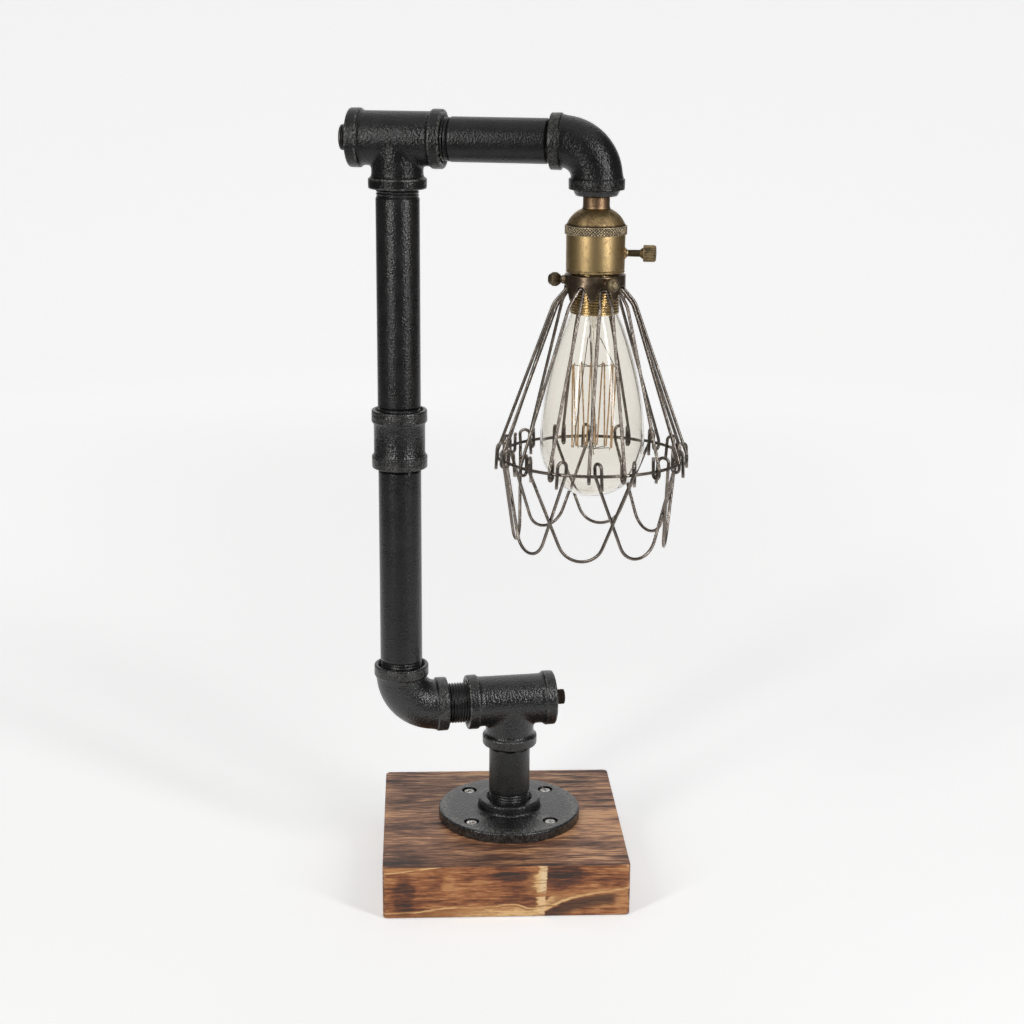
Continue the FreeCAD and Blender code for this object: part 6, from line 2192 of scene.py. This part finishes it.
WHITE = (1.0, 1.0, 1.0)
LAMP_MIDDLE = Vector((0.0, 0.0, 0.28))
SENSOR_MM = 36.0
PICTURE_PX = 1024.0
CARRIED: dict[str, Finish] = {
    "outlet_plug": Finish.THREAD,
    "lamp_nipple": Finish.RUSTY,
    "shell_liner": Finish.PAPER,
    "switch_body": Finish.MOULDING,
    "switch_rotor": Finish.MOULDING,
    "terminal_screws": Finish.SCREW,
    "centre_contact": Finish.SLEEVE,
    "screw_shell": Finish.SLEEVE,
    "bulb_cap": Finish.CAP,
    "bulb_contact": Finish.CAP,
    "lower_lead": Finish.BRAID,
    "upper_lead": Finish.BRAID,
    "head_lead": Finish.BRAID,
}


def dress_carried(nodes: dict[str, Object]) -> None:
    """Gives the frame's nodes that stay as they are their materials."""
    for name, finish in CARRIED.items():
        coat(nodes[name].data, finish)


@dataclass
class Studio:
    """Paper sweep, soft lights and camera.

    Attributes:
        flat: Radius of the level paper, in metres.
        rise: Radius of its upward curve, in metres.
        focal_px: Focal length in pixels of a square picture of 1024.
        eye_mm: Camera position in millimetres.
        heading: Turn of the view about Z, in degrees.
        pitch: How far the camera looks down, in degrees.
        roll: Roll of the camera, in degrees.
    """

    flat: float = 1.9
    rise: float = 1.0
    focal_px: float = 1879.826
    eye_mm: tuple[float, float, float] = (-53.14, -1151.65, 546.18)
    heading: float = 2.91
    pitch: float = 14.76
    roll: float = 0.42

    def sweep(self) -> None:
        """Makes the paper: level in the middle and curved up all round."""
        profile = [(0.0, 0.0), (self.flat / 2.0, 0.0)]
        profile += arc((self.flat, self.rise), self.rise, -90.0, 0.0, 24)
        profile.append((self.flat + self.rise, 3.4))
        scaled_up = [(radius / MM, (height - 0.0002) / MM) for radius, height in profile]
        mesh = Build().lathe(scaled_up, 96).mesh("studio_sweep", 60.0)
        coat(mesh, Finish.STUDIO)
        linked("studio_sweep", mesh)

    @staticmethod
    def light(name: str, spot: Vector, size: tuple[float, float], power: float, tint: Colour = WHITE) -> None:
        """Adds a soft rectangular light that faces the lamp's middle.

        Args:
            name: Name of the light.
            spot: Its position in metres.
            size: Its width and height in metres.
            power: Its power in watts.
            tint: Its colour.
        """
        data = bpy.data.lights.new(name, "AREA")
        data.shape = "RECTANGLE"
        data.size, data.size_y = size
        data.energy = power
        data.color = tint
        made = linked(name, data)
        made.location = spot
        made.rotation_euler = (LAMP_MIDDLE - spot).to_track_quat("-Z", "Y").to_euler()

    def lights(self) -> None:
        """Adds the lights and the pale surroundings."""
        strip = (0.11, 0.72)
        self.light("key_left", Vector((-0.52, -0.60, 0.61)), strip, 3.5, (1.0, 0.99, 0.97))
        self.light("fill_right", Vector((0.52, -0.56, 0.61)), strip, 3.7)
        self.light("top_soft", Vector((-0.10, 0.30, 1.7)), (2.2, 2.0), 5.0)
        world = bpy.data.worlds.new("surroundings")
        world.use_nodes = True
        background = world.node_tree.nodes["Background"]
        background.inputs["Color"].default_value = (*WHITE, 1.0)
        background.inputs["Strength"].default_value = 0.40
        bpy.context.scene.world = world

    def camera(self) -> None:
        """Adds the camera at the chosen viewpoint."""
        pitch, roll, turn = (math.radians(angle) for angle in (self.pitch, self.roll, self.heading))
        right = Vector((math.cos(turn), -math.sin(turn), 0.0))
        ahead = Vector((math.sin(turn) * math.cos(pitch), math.cos(turn) * math.cos(pitch), -math.sin(pitch)))
        above = right.cross(ahead)
        tilted = right * math.cos(roll) + above * math.sin(roll)
        upright = above * math.cos(roll) - right * math.sin(roll)
        data = bpy.data.cameras.new("view")
        data.sensor_width = SENSOR_MM
        data.lens = SENSOR_MM * self.focal_px / PICTURE_PX
        data.clip_start, data.clip_end = 0.05, 20.0
        made = linked("view", data)
        rows = Matrix((tilted, upright, -ahead)).transposed().to_4x4()
        made.matrix_world = Matrix.Translation(Vector(self.eye_mm) * MM) @ rows
        bpy.context.scene.camera = made

    def make(self) -> None:
        """Sets up the studio."""
        self.sweep()
        self.lights()
        self.camera()
        bpy.context.scene.view_settings.view_transform = "Standard"
        bpy.context.scene.view_settings.look = "None"


def main() -> None:
    """Dresses the frame."""
    logging.basicConfig(level=logging.INFO, format="%(message)s")
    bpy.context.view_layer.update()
    Studio().make()
    places = Places.read(frame["joints"])
    Base(places).make()
    Fittings(places).make()
    Lampholder(places).make()
    Cage(places).make()
    Bulb(places).make()
    dress_carried(frame["nodes"])


if __name__ == "__main__":
    main()
